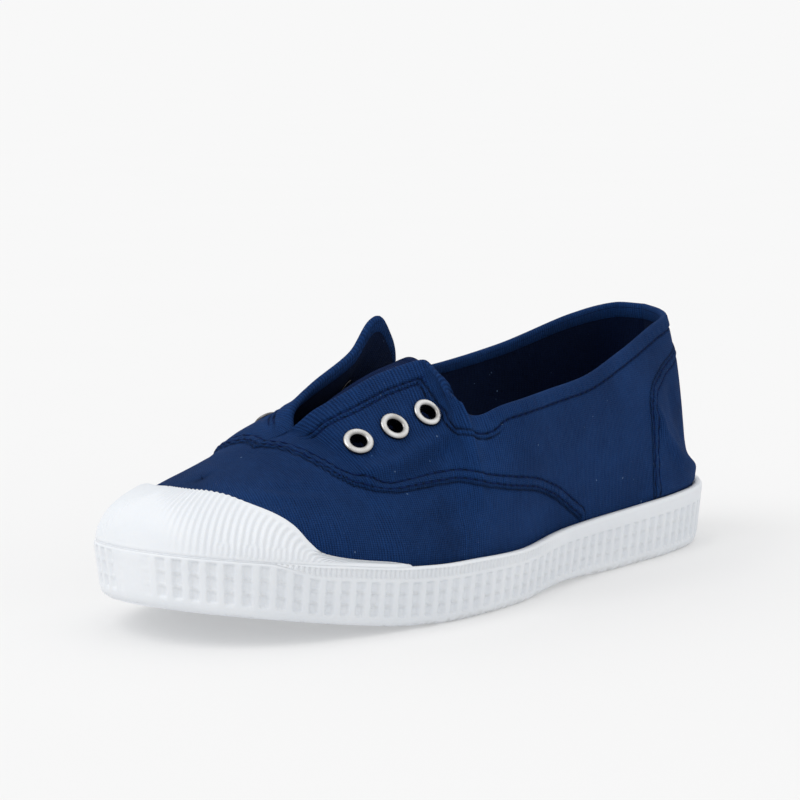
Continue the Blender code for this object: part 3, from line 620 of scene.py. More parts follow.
class Relief:
    """Height of everything that lies on, or is pressed into, the plain canvas, in mm."""

    def __init__(self, upper):
        self.upper = upper
        self.quarter = {}
        self.stay = {}
        self.edge = {}
        self.folds = {"left": [], "right": []}
        for side in ("left", "right"):
            self.quarter[side] = Line(upper, side, quarter_line(upper, side), 4)
            self.stay[side] = Line(upper, side, table_line(0.0, 0.237))
            top = [(share, 1.0) for share in np.linspace(0, SLIT_TIP_FOOT, 120)]
            self.edge[side] = Line(upper, side, top, 4)
        for side, height, width, knots in FOLDS:
            self.folds[side].append((height, width, Line(upper, side, knots)))

    def at(self, side, shares, ups, points):
        """points are in mm. Returns the height, and the charts by which the sewn lines are drawn:
        each point's distance to the quarter's edge, the stay's edge and the hem's, the travel
        along each, where the hem is there, and where it is the flap's."""
        seam = follow(SEAM, 1, shares)
        quarter = self.quarter[side]
        lap = np.interp(shares, quarter.shares, quarter.ups)
        gap, travel = quarter.near(points)
        inside = (shares < quarter.shares[-1]) & ((ups > lap) | (shares < quarter.shares[0]))
        gap = np.where(inside, gap, -gap)
        height = QUARTER_STEP * ramp(-0.30, 0.30, gap)
        height += groove(gap, FIRST_SEW, 0.30, 0.30) + groove(gap, QUARTER_SEW, 0.35, 0.40)
        between = ramp(FIRST_SEW, 1.6, gap) * ramp(3.4, 2.7, gap)
        height += between * (0.12 + 0.14 * np.sin(travel * 2.1 + 1.3 * np.sin(travel * 0.31)))
        height -= 0.25 * np.exp(-((gap + 0.5) / 0.5) ** 2) * (gap < 0)
        charts = {"quarter_gap": np.clip(gap, -CHART_REACH, CHART_REACH), "quarter_run": travel}

        gap, travel = self.stay[side].near(points)
        inside = (shares < STAY_END) & (ups < np.where(shares < STAY_END, seam, 0.0))
        gap = np.where(inside, gap, -gap)
        height += STAY_STEP * ramp(-0.30, 0.30, gap)
        height += groove(gap, FIRST_SEW, 0.32, 0.32) + groove(gap, STAY_SEW, 0.35, 0.40)
        between = ramp(FIRST_SEW, 1.6, gap) * ramp(3.3, 2.6, gap)
        height += between * (0.10 + 0.10 * np.sin(travel * 1.9))
        charts["stay_gap"] = np.clip(gap, -CHART_REACH, CHART_REACH)
        charts["stay_run"] = travel

        gap, travel = self.edge[side].near(points)
        flap = ramp(FLAP_START, FLAP_FULL, shares)
        hem = COLLAR_HEM + (FLAP_HEM - COLLAR_HEM) * flap
        ending = ramp(SLIT_TIP_FOOT + 0.02, SLIT_TIP_FOOT - 0.012, shares)
        shape = 0.30 * ramp(hem, hem - 0.7, gap)
        shape += groove(gap, hem + HEM_SEW, 0.38, 0.42)
        channel = hem + FLAP_CHANNEL
        shape += flap * groove(gap, channel, 0.38, 0.40)
        shape += flap * 0.22 * np.exp(-(((gap - hem - FLAP_CHANNEL / 2) / 0.45) ** 2))
        pucker = np.sin(travel * 1.7 + 1.1 * np.sin(travel * 0.37))
        shape += 0.10 * pucker * ramp(hem, hem - 1.2, gap) * ramp(0.0, 1.2, gap)
        height += shape * ending
        charts["hem_gap"] = np.clip(gap - hem, -CHART_REACH, CHART_REACH)
        charts["hem_there"] = ending
        charts["hem_run"] = travel
        charts["flap"] = flap

        for fold_height, width, line in self.folds[side]:
            away, along = line.near(points)
            ends = ramp(0, 6, along) * ramp(line.travel[-1], line.travel[-1] - 6, along)
            height += fold_height * np.exp(-((away / width) ** 2)) * (0.35 + 0.65 * ends)
        return height, charts


def sheet(name, points, faces, uvs, material, merge=True, charts=None):
    """A mesh from points in mm, with a map of millimetres for its weave."""
    mesh = bpy.data.meshes.new(name)
    mesh.from_pydata((np.asarray(points) * MM).tolist(), [], [list(face) for face in faces])
    layer = mesh.uv_layers.new(name="weave")
    flat = np.asarray([uv for face in uvs for uv in face], float)
    layer.data.foreach_set("uv", flat.ravel())
    for label, values in (charts or {}).items():
        chart = mesh.attributes.new(label, "FLOAT", "POINT")
        chart.data.foreach_set("value", np.asarray(values, np.float32))
    if merge:
        work = bmesh.new()
        work.from_mesh(mesh)
        bmesh.ops.remove_doubles(work, verts=work.verts, dist=1e-6)
        bmesh.ops.dissolve_degenerate(work, edges=work.edges, dist=1e-7)
        work.to_mesh(mesh)
        work.free()
    mesh.shade_smooth()
    mesh.materials.append(material)
    piece = bpy.data.objects.new(name, mesh)
    bpy.context.scene.collection.objects.link(piece)
    return piece


def upper_shares():
    return np.concatenate([
        np.arange(0.000, 0.540, 0.0034),
        np.arange(0.540, 0.640, 0.0018),
        np.arange(0.640, SLIT_TIP_FOOT - 0.001, 0.0030),
        np.arange(SLIT_TIP_FOOT, 0.800, 0.0035),
        np.linspace(0.800, 1.000, 44),
    ])


def canvas_grid(upper, relief, side, shares, levels):
    """Plain and raised points of one side, in mm, with the canvas's outward directions."""
    plain = np.array([row_points(upper, side, s, levels) for s in shares]) / MM
    across = np.gradient(plain, axis=0)
    rising = np.gradient(plain, axis=1)
    normal = np.cross(across, rising)
    if side == "left":
        normal = -normal
    hidden = levels <= 0
    normal[:, hidden, 2] = 0.0
    length = np.linalg.norm(normal, axis=2)
    normal /= np.maximum(length, 1e-9)[..., None]
    for end in (0, -1):
        normal[end, :, 1] = 0.0
        normal[end] /= np.linalg.norm(normal[end], axis=1)[:, None]
    ridge = shares >= SLIT_TIP_FOOT
    normal[ridge, -1, 1] = 0.0
    normal[ridge, -1] /= np.linalg.norm(normal[ridge, -1], axis=1)[:, None]
    flat_shares = np.repeat(shares, len(levels))
    flat_ups = np.tile(levels, len(shares))
    height, charts = relief.at(side, flat_shares, flat_ups, plain.reshape(-1, 3))
    height = height.reshape(plain.shape[:2])
    height[:, hidden] = np.minimum(height[:, hidden], 0.65)
    return plain, normal, height, charts


def in_eyelet(point, frames, reach):
    """Whether a point in mm lies in one of the eyelets' holes, of radius reach."""
    for middle, _, _, normal in frames:
        away = point - middle / MM
        if np.linalg.norm(away) < HOLE_SEARCH:
            level = away - normal * (away @ normal)
            if np.linalg.norm(level) < reach:
                return True
    return False


# Corners round one face of a grid, as steps of row and column
ROWS_FIRST = ((0, 0), (1, 0), (1, 1), (0, 1))
COLUMNS_FIRST = ((0, 0), (0, 1), (1, 1), (1, 0))


class Patch:
    """Points in mm, faces and their weave maps, gathered for one mesh."""

    def __init__(self):
        self.points = []
        self.faces = []
        self.uvs = []

    def grid(self, block, chart, around=ROWS_FIRST, skip=None):
        """Adds a grid of points. chart gives the map's place of a row and a column."""
        rows, columns = block.shape[:2]
        first = len(self.points)
        self.points += block.reshape(-1, 3).tolist()
        for i in range(rows - 1):
            for j in range(columns - 1):
                if skip and skip(i, j):
                    continue
                corners = [(i + down, j + along) for down, along in around]
                self.faces.append([first + a * columns + b for a, b in corners])
                self.uvs.append([chart(a, b) for a, b in corners])

    def rings(self, rings, chart):
        """Adds closed rings of points, one above the other, with faces between them. chart is
        given a column one past the last where a ring closes."""
        first = len(self.points)
        count = len(rings[0])
        self.points += np.concatenate(rings).tolist()
        for r in range(len(rings) - 1):
            for i in range(count):
                corners = [(r, i), (r, i + 1), (r + 1, i + 1), (r + 1, i)]
                self.faces.append([first + a * count + b % count for a, b in corners])
                self.uvs.append([chart(a, b) for a, b in corners])

    def made(self, name, material, **settings):
        return sheet(name, self.points, self.faces, self.uvs, material, **settings)


def rolled_edge(upper, side, shares, outer, plain, normal, height, rise):
    """Rows of points over the top edge: an arc to the inner face, then the turned-in hem."""
    wall = CANVAS / MM
    top = outer[:, -1]
    inward = -normal[:, -1]
    rising = plain[:, -1] - plain[:, -2]
    rising /= np.linalg.norm(rising, axis=1)[:, None]
    thick = wall + height[:, -1]
    rows = [top]
    for angle in np.linspace(30, 150, 5):
        turn = math.radians(angle)
        over = inward * (thick / 2 * (1 - math.cos(turn)))[:, None]
        rows.append(top + over + rising * (thick / 2 * math.sin(turn))[:, None])
    rows.append(top + inward * thick[:, None])
    for depth in HEM_ROW_STEP * np.arange(1, HEM_ROWS + 1):
        back = np.interp(rise[0, -1] - depth, rise[0], UPPER_LEVELS)
        turned_in = np.array([row_points(upper, side, s, [back])[0] for s in shares])
        rows.append(turned_in / MM + inward * (wall + (0.25 if depth < 3.5 else 0.0)))
    return np.array(rows)


def build_upper_pieces(upper, relief, canvas, lining):
    """The outer canvas with its rolled top edge, and the lining inside it."""
    shares = upper_shares()
    levels = UPPER_LEVELS
    tip = int(np.argmin(np.abs(shares - SLIT_TIP_FOOT)))
    skip_i, skip_j = LINING_SKIP
    step_i = sorted(set(range(0, len(shares), skip_i)) | {len(shares) - 1, tip})
    step_j = sorted(set(range(0, len(levels), skip_j)) | {len(levels) - 1})
    body = Patch()
    inside = Patch()
    marks = {label: [] for label in CHART_NAMES}
    for side in ("left", "right"):
        turn = -1 if side == "left" else 1
        plain, normal, height, charts = canvas_grid(upper, relief, side, shares, levels)
        outer = plain + normal * height[..., None]
        middle_row = int(np.argmin(np.abs(levels - 0.45)))
        run = np.linalg.norm(np.diff(plain[:, middle_row], axis=0), axis=1)
        run = np.concatenate([[0.0], np.cumsum(run)])
        rise = np.linalg.norm(np.diff(outer, axis=1), axis=2)
        rise = np.concatenate([np.zeros((len(shares), 1)), np.cumsum(rise, axis=1)], axis=1)
        frames = [eyelet_frame(upper, side, s, u) for s, u in EYELETS]

        def at_hole(i, j):
            centre = (outer[i, j] + outer[i + 1, j + 1]) / 2
            return 0.55 < levels[j] < 0.9 and in_eyelet(centre, frames, HOLE_REACH)

        body.grid(outer, lambda a, b: (run[a], rise[a, b]), ROWS_FIRST[::turn], at_hole)
        turned = slice(0, tip + 1)
        rows = rolled_edge(
            upper, side, shares[turned], outer[turned], plain[turned], normal[turned],
            height[turned], rise,
        )
        body.grid(
            rows, lambda a, b: (run[b], rise[b, -1] + a * HEM_ROW_STEP), COLUMNS_FIRST[::turn]
        )
        for label in CHART_NAMES:
            values = charts[label].reshape(len(shares), len(levels))
            marks[label] += values.ravel().tolist() + np.tile(values[turned, -1], len(rows)).tolist()
        inner = (plain - normal * (CANVAS / MM + 0.05))[np.ix_(step_i, step_j)]

        def at_inner_hole(i, j):
            return in_eyelet((inner[i, j] + inner[i + 1, j + 1]) / 2, frames, LINING_HOLE_REACH)

        inside.grid(
            inner, lambda a, b: (run[step_i[a]], rise[step_i[a], step_j[b]]),
            COLUMNS_FIRST[::turn], at_inner_hole,
        )
    return body.made("upper_detail", canvas, charts=marks), inside.made("upper_lining", lining)


def build_cap_detail(upper, rubber):
    """The rubber cap with its fine ribs, and the turned edges where it meets the canvas."""
    first_share = CAP_EDGE[0][0] + 0.006
    shares = np.linspace(first_share, 1.0, CAP_SHARES)
    parts = np.linspace(0.0, 1.0, CAP_ROWS)
    half_way = 0.5 * OUTLINE_LENGTH
    cap = Patch()
    for side in ("left", "right"):
        edge = follow(CAP_EDGE, 1, shares)
        rows = [row_points(upper, side, s, e * parts) for s, e in zip(shares, edge)]
        plain = np.array(rows) / MM
        normal = np.cross(np.gradient(plain, axis=0), np.gradient(plain, axis=1))
        if side == "left":
            normal = -normal
        normal[-1, :, 1] = 0.0
        normal /= np.linalg.norm(normal, axis=2)[..., None]
        rise = np.linalg.norm(np.diff(plain, axis=1), axis=2)
        rise = np.concatenate([np.zeros((len(shares), 1)), np.cumsum(rise, axis=1)], axis=1)
        to_edge = rise[:, -1:] - rise
        corner = np.linalg.norm(plain - plain[0, 0], axis=2)
        wall = CAP_FOOT_WALL + (CAP_TOP_WALL - CAP_FOOT_WALL) * np.sqrt(parts)
        height = (CAP_CLEARANCE + wall)[None, :] / MM + np.zeros_like(to_edge)
        travel = (shares * half_way)[:, None] + CAP_RIB_LEAN * parts[None, :] ** 2
        fade = ramp(0.965, 0.915, shares[:, None] - 0.085 * parts[None, :] ** 2)
        fade = fade * ramp(0.795, 0.825, shares)[:, None]
        fade = fade * ramp(0.0, 1.2, rise)
        rib = np.cos(travel * 2 * math.pi / CAP_RIB_PITCH)
        reach = ramp(0.2, 1.0, to_edge) * ramp(2.0, 6.0, corner)
        edge_band = ramp(0.885, 0.850, shares)[:, None] * ramp(3.2, 2.2, to_edge)
        height += CAP_RIB_HEIGHT * rib * fade * reach * (1 - edge_band)
        short = ramp(3.6, 3.0, rise) * ramp(0.5, 0.9, rise) * ramp(0.925, 0.900, shares)[:, None]
        thin = np.cos(travel * 2 * math.pi / THIN_PITCH)
        height += short * (0.22 * thin + 0.10) - 0.8 * short * CAP_RIB_HEIGHT * rib * fade * reach
        scallop = np.maximum(rib, -0.2) * ramp(0.860, 0.890, shares)[:, None]
        height -= (0.55 * ramp(1.1, 0.0, to_edge) ** 2)
        outer = plain + normal * height[..., None]
        outer[..., 2] += CAP_CLEARANCE / MM * 0.3
        # The upper edge's own wall, down to the canvas, with a scalloped outline
        rising = plain[:, -1] - plain[:, -2]
        rising /= np.maximum(np.linalg.norm(rising, axis=1), 1e-6)[:, None]
        outer[:, -1] += rising * (0.18 * scallop[:, -1:])
        outer[:, -2] += rising * (0.10 * scallop[:, -1:])
        lip = [outer[:, -1] + rising * 0.12 - normal[:, -1] * 0.35]
        lip.append(plain[:, -1] + rising * (0.12 + 0.18 * scallop[:, -1:]) + normal[:, -1] * 0.25)
        foot = [plain[:, 0] + normal[:, 0] * 0.8, outer[:, 0] - normal[:, 0] * 0.25]
        foot[1][:, 2] -= 0.35
        foot[0][:, 2] -= 0.35
        full = np.concatenate([
            np.array(foot).transpose(1, 0, 2), outer, np.array(lip).transpose(1, 0, 2)
        ], axis=1)
        start = full[0:1] - normal[0, 0] * 2.6
        full = np.concatenate([start, full])
        travel_u = np.concatenate([[0.0], shares * half_way])
        turn = -1 if side == "left" else 1
        cap.grid(full, lambda a, b: (travel_u[a], b), ROWS_FIRST[::turn])
    return cap.made("toe_cap_detail", rubber)


def rib_shape(phase):
    """A rounded rib in the first half of its pitch, from 0 in the gap to 1 on its crown."""
    return ramp(0.00, 0.22, phase) * ramp(0.72, 0.50, phase)


def build_sole_detail(outline, rubber):
    """The sole with rounded ribs, the two thin rails between them, the fine band above, and
    the tread below."""
    base = np.append(ring_shares(outline, RIB_COUNT), 1.0)
    shares = []
    for low, high in zip(base, base[1:]):
        shares.append(low + (high - low) * np.arange(SOLE_STEPS) / SOLE_STEPS)
    shares = np.concatenate(shares)
    count = len(shares)
    index = np.arange(count)
    phase = index % SOLE_STEPS / SOLE_STEPS
    foot = np.where(shares < outline.toe, shares / outline.toe, (1 - shares) / (1 - outline.toe))
    place, _ = outline.at(shares)
    low = lower_edge(place[:, 0]) / MM
    high = rim_height(place[:, 0]) / MM
    crease = 0.79 + 0.195 * ramp(0.800, 0.860, foot)
    strength = ramp(0.992, 0.950, foot)
    thin_strength = ramp(0.43, 0.52, foot) * ramp(0.880, 0.820, foot)
    lower_rows = np.concatenate([
        [0.0, 0.02, 0.05, 0.09, 0.14], np.linspace(0.185, 0.27, 4), np.linspace(0.31, 0.92, 17),
        [0.94, 0.957, 0.974, 0.99, 1.0],
    ])
    upper_rows = np.array([0.06, 0.14, 0.22, 0.40, 0.60, 0.74, 0.82, 0.90, 0.96, 1.0])
    knots = [0.0, 0.03, 0.08, 0.20, 0.75, 0.88, 0.96, 1.0]
    taper = [3.2, 2.5, 2.05, 1.6, 0.50, 0.18, 0.20, 0.75]
    rng = np.random.default_rng(7)
    chips = rng.normal(0.0, 1.0, count)
    chips = np.concatenate([chips[-2:], chips, chips[:2]])
    chips = np.convolve(chips, [0.1, 0.25, 0.3, 0.25, 0.1], "valid")
    rows = []
    for row in np.concatenate([lower_rows, 1.0 + upper_rows]):
        if row <= 1.0:
            up = row * crease
            window = ramp(0.185, 0.235, row) * ramp(0.955, 0.915, row)
            rib = rib_shape(phase)
            rails = np.exp(-(((row - 0.424) / 0.024) ** 2)) + np.exp(-(((row - 0.691) / 0.024) ** 2))
            gap = 1.25 * RIB_DEPTH / MM * (1 - rib) - 0.75 * rails * (1 - rib)
            inset = window * strength * gap
            inset = inset + 0.28 * ramp(0.985, 1.0, row) * ramp(0.80, 0.86, foot)
        else:
            part = row - 1.0
            up = crease + (1 - crease) * part
            thin = 0.5 - 0.5 * np.cos(phase * 6 * math.pi)
            window = ramp(0.08, 0.20, part) * ramp(0.80, 0.72, part)
            inset = thin_strength * window * (0.75 * ramp(0.30, 0.70, thin) - 0.15)
        inset = inset + np.interp(up, knots, taper)
        edge, _ = outline.at(shares, -inset * MM)
        z = low + (high - low) * up
        if row < 0.03:
            z = z + np.maximum(chips, 0.0) * 0.45 * ramp(0.03, 0.0, row) * ramp(0.94, 0.88, foot)
        rows.append(np.column_stack([edge / MM, z]))
    inner, _ = outline.at(shares, -FOXING_WALL)
    rows.append(np.column_stack([inner / MM + (place - inner) * 0.35 / MM, high + 0.05]))
    rows.append(np.column_stack([inner / MM, high - 0.15]))
    floor_z = floor_height(place[:, 0]) / MM
    rows.append(np.column_stack([inner / MM, floor_z]))
    sole = Patch()
    sole.rings(rows, lambda a, b: (b, a))
    # The plate under the insole
    half = count // 2
    last = (len(rows) - 1) * count
    for i in range(1, half - 1):
        sole.faces.append([last + i, last + i + 1, last + count - i - 1, last + count - i])
        sole.uvs.append([(0, 0), (1, 0), (1, 1), (0, 1)])
    # The tread
    across = np.linspace(0.0, 1.0, 27)
    under = []
    for i in range(1, half):
        a = rows[0][i]
        b = rows[0][count - i]
        line = a + (b - a) * across[:, None]
        width = np.linalg.norm(a[:2] - b[:2])
        margin = np.minimum(across, 1 - across) * width
        x = line[:, 0]
        y = line[:, 1]
        wave = x + 1.6 * np.abs((y / 7.0) % 2 - 1)
        bar = np.abs((wave / TREAD_PITCH * MM) % 1 - 0.5) * 2
        cut = ramp(0.62, 0.74, bar) * ramp(4.5, 5.5, margin)
        ends = ramp(-125 + 13, -125 + 15, x) * ramp(125 - 12, 125 - 14, x)
        level = lower_edge(x * MM) / MM
        keep = ramp(0.0, 1.0, margin)
        z = line[:, 2] * (1 - keep) + level * keep + cut * ends * TREAD_DEPTH / MM
        under.append(np.column_stack([line[:, :2], z]))
    sole.grid(np.array(under), lambda a, b: (a, b), COLUMNS_FIRST)
    return sole.made("sole_detail", rubber)


def tube_ring(frame, profile, segments, points, faces, uvs):
    """Turns a closed profile of radius and height, in mm, round a frame's direction."""
    middle, along, across, normal = frame
    first = len(points)
    size = len(profile)
    for step in range(segments):
        angle = 2 * math.pi * step / segments
        spoke = along * math.cos(angle) + across * math.sin(angle)
        for radius, height in profile:
            points.append(middle / MM + spoke * radius + normal * height)
    for step in range(segments):
        a = first + step * size
        b = first + (step + 1) % segments * size
        for k in range(size):
            after = (k + 1) % size
            faces.append([a + k, b + k, b + after, a + after])
            uvs.append([(step, k), (step + 1, k), (step + 1, k + 1), (step, k + 1)])


def build_eyelet_details(upper, nickel):
    """Rolled metal rings, each with its barrel and the flange behind the canvas."""
    lift = 0.62
    rim = 1.05
    back = -(CANVAS + OVERLAY) / MM - 0.3
    profile = [(2.40, back - 0.35), (2.40, lift * 0.6)]
    for angle in np.linspace(180, 0, 11):
        turn = math.radians(angle)
        profile.append((3.45 + rim * math.cos(turn), lift + 0.72 * math.sin(turn) ** 0.8))
    profile += [(4.42, lift - 0.45), (2.80, lift - 0.45), (2.80, back), (3.9, back), (3.9, back - 0.35)]
    pieces = []
    for side in ("left", "right"):
        for number, (share, up) in enumerate(EYELETS, 1):
            points = []
            faces = []
            uvs = []
            frame = eyelet_frame(upper, side, share, up)
            tube_ring(frame, profile, RING_SEGMENTS, points, faces, uvs)
            piece = sheet(f"eyelet_ring_{side}_{number}", points, faces, uvs, nickel)
            work = bmesh.new()
            work.from_mesh(piece.data)
            bmesh.ops.recalc_face_normals(work, faces=work.faces)
            work.to_mesh(piece.data)
            work.free()
            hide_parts(f"eyelet_{side}_{number}")
            pieces.append(piece)
    return pieces


def build_gusset_detail(elastic):
    """The elastic sheet under the flaps, with fine cords along it and a hem behind."""
    rows, columns = GUSSET_GRID
    shares = np.linspace(GUSSET[0][0], GUSSET[-1][0], rows)
    middle, half, crown, drop = (follow(GUSSET, k, shares) for k in range(1, 5))
    part = np.linspace(-1, 1, columns)
    x = (shares - 0.5) * LENGTH / MM
    y = (middle[:, None] + half[:, None] * part[None, :]) * BALL_WIDTH / 2 / MM
    z = (crown[:, None] - drop[:, None] * part[None, :] ** 2) * INSTEP_HEIGHT / MM
    behind = x - x[0]
    cords = 0.12 * np.cos(part * 2 * math.pi * 13)[None, :] * ramp(3.5, 4.5, behind)[:, None]
    hem = 0.35 * ramp(3.4, 2.6, behind)[:, None] + groove(behind, 3.3, 0.4, 0.3)[:, None]
    z = z + cords + hem
    top = np.stack([np.repeat(x[:, None], columns, axis=1), y, z], axis=2)
    below = top.copy()
    below[..., 2] -= GUSSET_WALL / MM
    gusset = Patch()
    gusset.grid(top, lambda a, b: (x[a], y[a, b]))
    first = len(gusset.points)
    gusset.grid(below, lambda a, b: (x[a], y[a, b]), ROWS_FIRST[::-1])
    for j in range(columns - 1):
        gusset.faces.append([j, j + 1, first + j + 1, first + j])
        gusset.uvs.append([(0, y[0, j]), (0, y[0, j + 1]), (1, y[0, j + 1]), (1, y[0, j])])
    return gusset.made("gusset_detail", elastic)


def build_insole_detail(outline, cloth):
    """A lightly dished insole with a rounded edge."""
    count = INSOLE_SHARES
    shares = ring_shares(outline, count)
    inset = UPPER_INSET + CANVAS + 2 * GAP
    base, _ = outline.at(shares)
    bottom = floor_height(base[:, 0]) / MM + 0.3
    thick = INSOLE_THICKNESS / MM
    rings = []
    for extra, level in ((0.0, 0.0), (0.0, 0.75), (0.35, 0.93), (1.0, 1.0)):
        place, _ = outline.at(shares, -(inset + extra * MM))
        rings.append(np.column_stack([place / MM, bottom + thick * level]))
    insole = Patch()
    insole.rings(rings, lambda a, b: tuple(rings[a][b % count][:2]))
    across = np.linspace(0.0, 1.0, 31)
    top = []
    for i in range(1, count // 2):
        a = rings[-1][i]
        b = rings[-1][count - i]
        line = a + (b - a) * across[:, None]
        width = np.linalg.norm(a[:2] - b[:2])
        margin = np.minimum(across, 1 - across) * width
        line[:, 2] -= 0.7 * ramp(0.0, 9.0, margin)
        top.append(line)
    top = np.array(top)
    insole.grid(top, lambda a, b: tuple(top[a, b, :2]))
    return insole.made("insole_detail", cloth)


def add_stitch(points, faces, a, b, outward, radius):
    """One short thread from a to b, bowed a little off the cloth, in mm."""
    direction = b - a
    length = np.linalg.norm(direction)
    direction = direction / length
    sideways = np.cross(direction, outward)
    first = len(points)
    stations = (
        (0.0, -0.9, 0.55), (0.12, 0.05, 0.95), (0.5, 0.35, 1.0), (0.88, 0.05, 0.95), (1.0, -0.9, 0.55),
    )
    for along, rise, thick in stations:
        middle = a + direction * length * along + outward * radius * rise
        for step in range(6):
            angle = math.pi * step / 3
            spoke = outward * math.sin(angle) + sideways * math.cos(angle)
            points.append(middle + spoke * radius * thick)
    for k in range(len(stations) - 1):
        for step in range(6):
            after = (step + 1) % 6
            low = first + k * 6
            faces.append([low + step, low + after, low + 6 + after, low + 6 + step])
    faces.append([first + step for step in range(6)][::-1])
    faces.append([first + (len(stations) - 1) * 6 + step for step in range(6)])


def stitch_row(tree, upper, side, line, toward, distance, points, faces, reach=1.0):
    """Threads along a line, at a distance from it on the side that toward gives."""
    ahead = np.gradient(line.points, axis=0)
    ahead /= np.linalg.norm(ahead, axis=1)[:, None]
    pitch = STITCH_LENGTH + STITCH_GAP
    for start in np.arange(1.2, line.travel[-1] * reach - pitch, pitch):
        ends = []
        for travel in (start, start + STITCH_LENGTH):
            share = float(np.interp(travel, line.travel, line.shares))
            up = float(np.interp(travel, line.travel, line.ups))
            here = np.array([np.interp(travel, line.travel, line.points[:, k]) for k in range(3)])
            way = np.array([np.interp(travel, line.travel, ahead[:, k]) for k in range(3)])
            outward = upper.normal(side, min(max(share, 0.005), 0.995), min(max(up, 0.03), 0.97))
            step = np.cross(outward, way)
            away = distance(share) if callable(distance) else distance
            target = here + step / np.linalg.norm(step) * toward * away
            origin = Vector((target + outward * 3.0) * MM)
            hit, facing, _, _ = tree.ray_cast(origin, Vector(-outward), 0.0065)
            if hit is None:
                break
            ends.append((np.array(hit) / MM, np.array(facing)))
        if len(ends) == 2:
            (a, n), (b, m) = ends
            outward = n + m
            outward /= np.linalg.norm(outward)
            if 0.8 < np.linalg.norm(b - a) < STITCH_LENGTH * 1.6:
                add_stitch(points, faces, a, b, outward, STITCH_RADIUS)


def hem_width(share):
    """Distance of the hem's first sewn line from the top edge, in mm."""
    return COLLAR_HEM + (FLAP_HEM - COLLAR_HEM) * float(ramp(FLAP_START, FLAP_FULL, share)) + HEM_SEW


def build_stitches(upper, relief, canvas_piece, thread):
    tree = BVHTree.FromObject(canvas_piece, bpy.context.evaluated_depsgraph_get())
    points = []
    faces = []
    for side, sign in (("left", 1.0), ("right", -1.0)):
        for away in (FIRST_SEW, QUARTER_SEW):
            stitch_row(tree, upper, side, relief.quarter[side], -sign, away, points, faces)
        for away in (FIRST_SEW, STAY_SEW):
            stitch_row(tree, upper, side, relief.stay[side], sign, away, points, faces)
        edge = relief.edge[side]
        stitch_row(tree, upper, side, edge, sign, hem_width, points, faces, 0.985)
        flap = Line(upper, side, [(s, 1.0) for s in np.linspace(0.562, 0.712, 60)], 4)
        second = FLAP_HEM + FLAP_CHANNEL
        stitch_row(tree, upper, side, flap, sign, second, points, faces)
    uvs = [[(0.0, 0.0)] * len(face) for face in faces]
    return sheet("stitches", points, faces, uvs, thread, merge=False)


class Nodes:
    """A Principled material and short calls to wire it."""

    def __init__(self, name):
        self.material = bpy.data.materials.new(name)
        self.material.use_nodes = True
        self.tree = self.material.node_tree
        self.shader = self.tree.nodes["Principled BSDF"]

    def node(self, kind, **settings):
        made = self.tree.nodes.new(kind)
        for key, value in settings.items():
            setattr(made, key, value)
        return made

    def put(self, value, socket):
        if isinstance(value, bpy.types.NodeSocket):
            self.tree.links.new(value, socket)
        else:
            socket.default_value = value

    def math(self, operation, a, b=0.0, c=0.0):
        made = self.node("ShaderNodeMath", operation=operation)
        self.put(a, made.inputs[0])
        self.put(b, made.inputs[1])
        self.put(c, made.inputs[2])
        return made.outputs[0]

    def spread(self, value, low, high, to_low=0.0, to_high=1.0):
        made = self.node("ShaderNodeMapRange")
        for socket, item in zip(made.inputs, (value, low, high, to_low, to_high)):
            self.put(item, socket)
        return made.outputs[0]

    def noise(self, place, scale, detail=3.0, roughness=0.55):
        made = self.node("ShaderNodeTexNoise")
        self.put(place, made.inputs["Vector"])
        made.inputs["Scale"].default_value = scale
        made.inputs["Detail"].default_value = detail
        made.inputs["Roughness"].default_value = roughness
        return made.outputs["Fac"]

    def mix(self, factor, a, b):
        made = self.node("ShaderNodeMix", data_type="RGBA")
        self.put(factor, made.inputs[0])
        self.put(a, made.inputs[6])
        self.put(b, made.inputs[7])
        return made.outputs[2]

    def weave_map(self):
        chart = self.node("ShaderNodeUVMap", uv_map="weave")
        parts = self.node("ShaderNodeSeparateXYZ")
        self.put(chart.outputs[0], parts.inputs[0])
        return chart.outputs[0], parts.outputs[0], parts.outputs[1]

    def place(self):
        return self.node("ShaderNodeTexCoord").outputs["Object"]

    def bump(self, height, distance, strength=1.0, below=None):
        made = self.node("ShaderNodeBump")
        made.inputs["Strength"].default_value = strength
        made.inputs["Distance"].default_value = distance
        self.put(height, made.inputs["Height"])
        if below is not None:
            self.put(below, made.inputs["Normal"])
        return made.outputs[0]


def colour(red, green, blue):
    """A linear colour from the 0 to 255 values seen on a screen."""
    shown = [value / 255 for value in (red, green, blue)]
    return tuple(v / 12.92 if v <= 0.04045 else ((v + 0.055) / 1.055) ** 2.4 for v in shown) + (1.0,)


def bell(made, value, centre, width):
    """1 where the value is at the centre, falling to 0 about a width away."""
    away = made.math("DIVIDE", made.math("SUBTRACT", value, centre), width)
    return made.math("POWER", 2.718, made.math("MULTIPLY", made.math("MULTIPLY", away, away), -1.0))


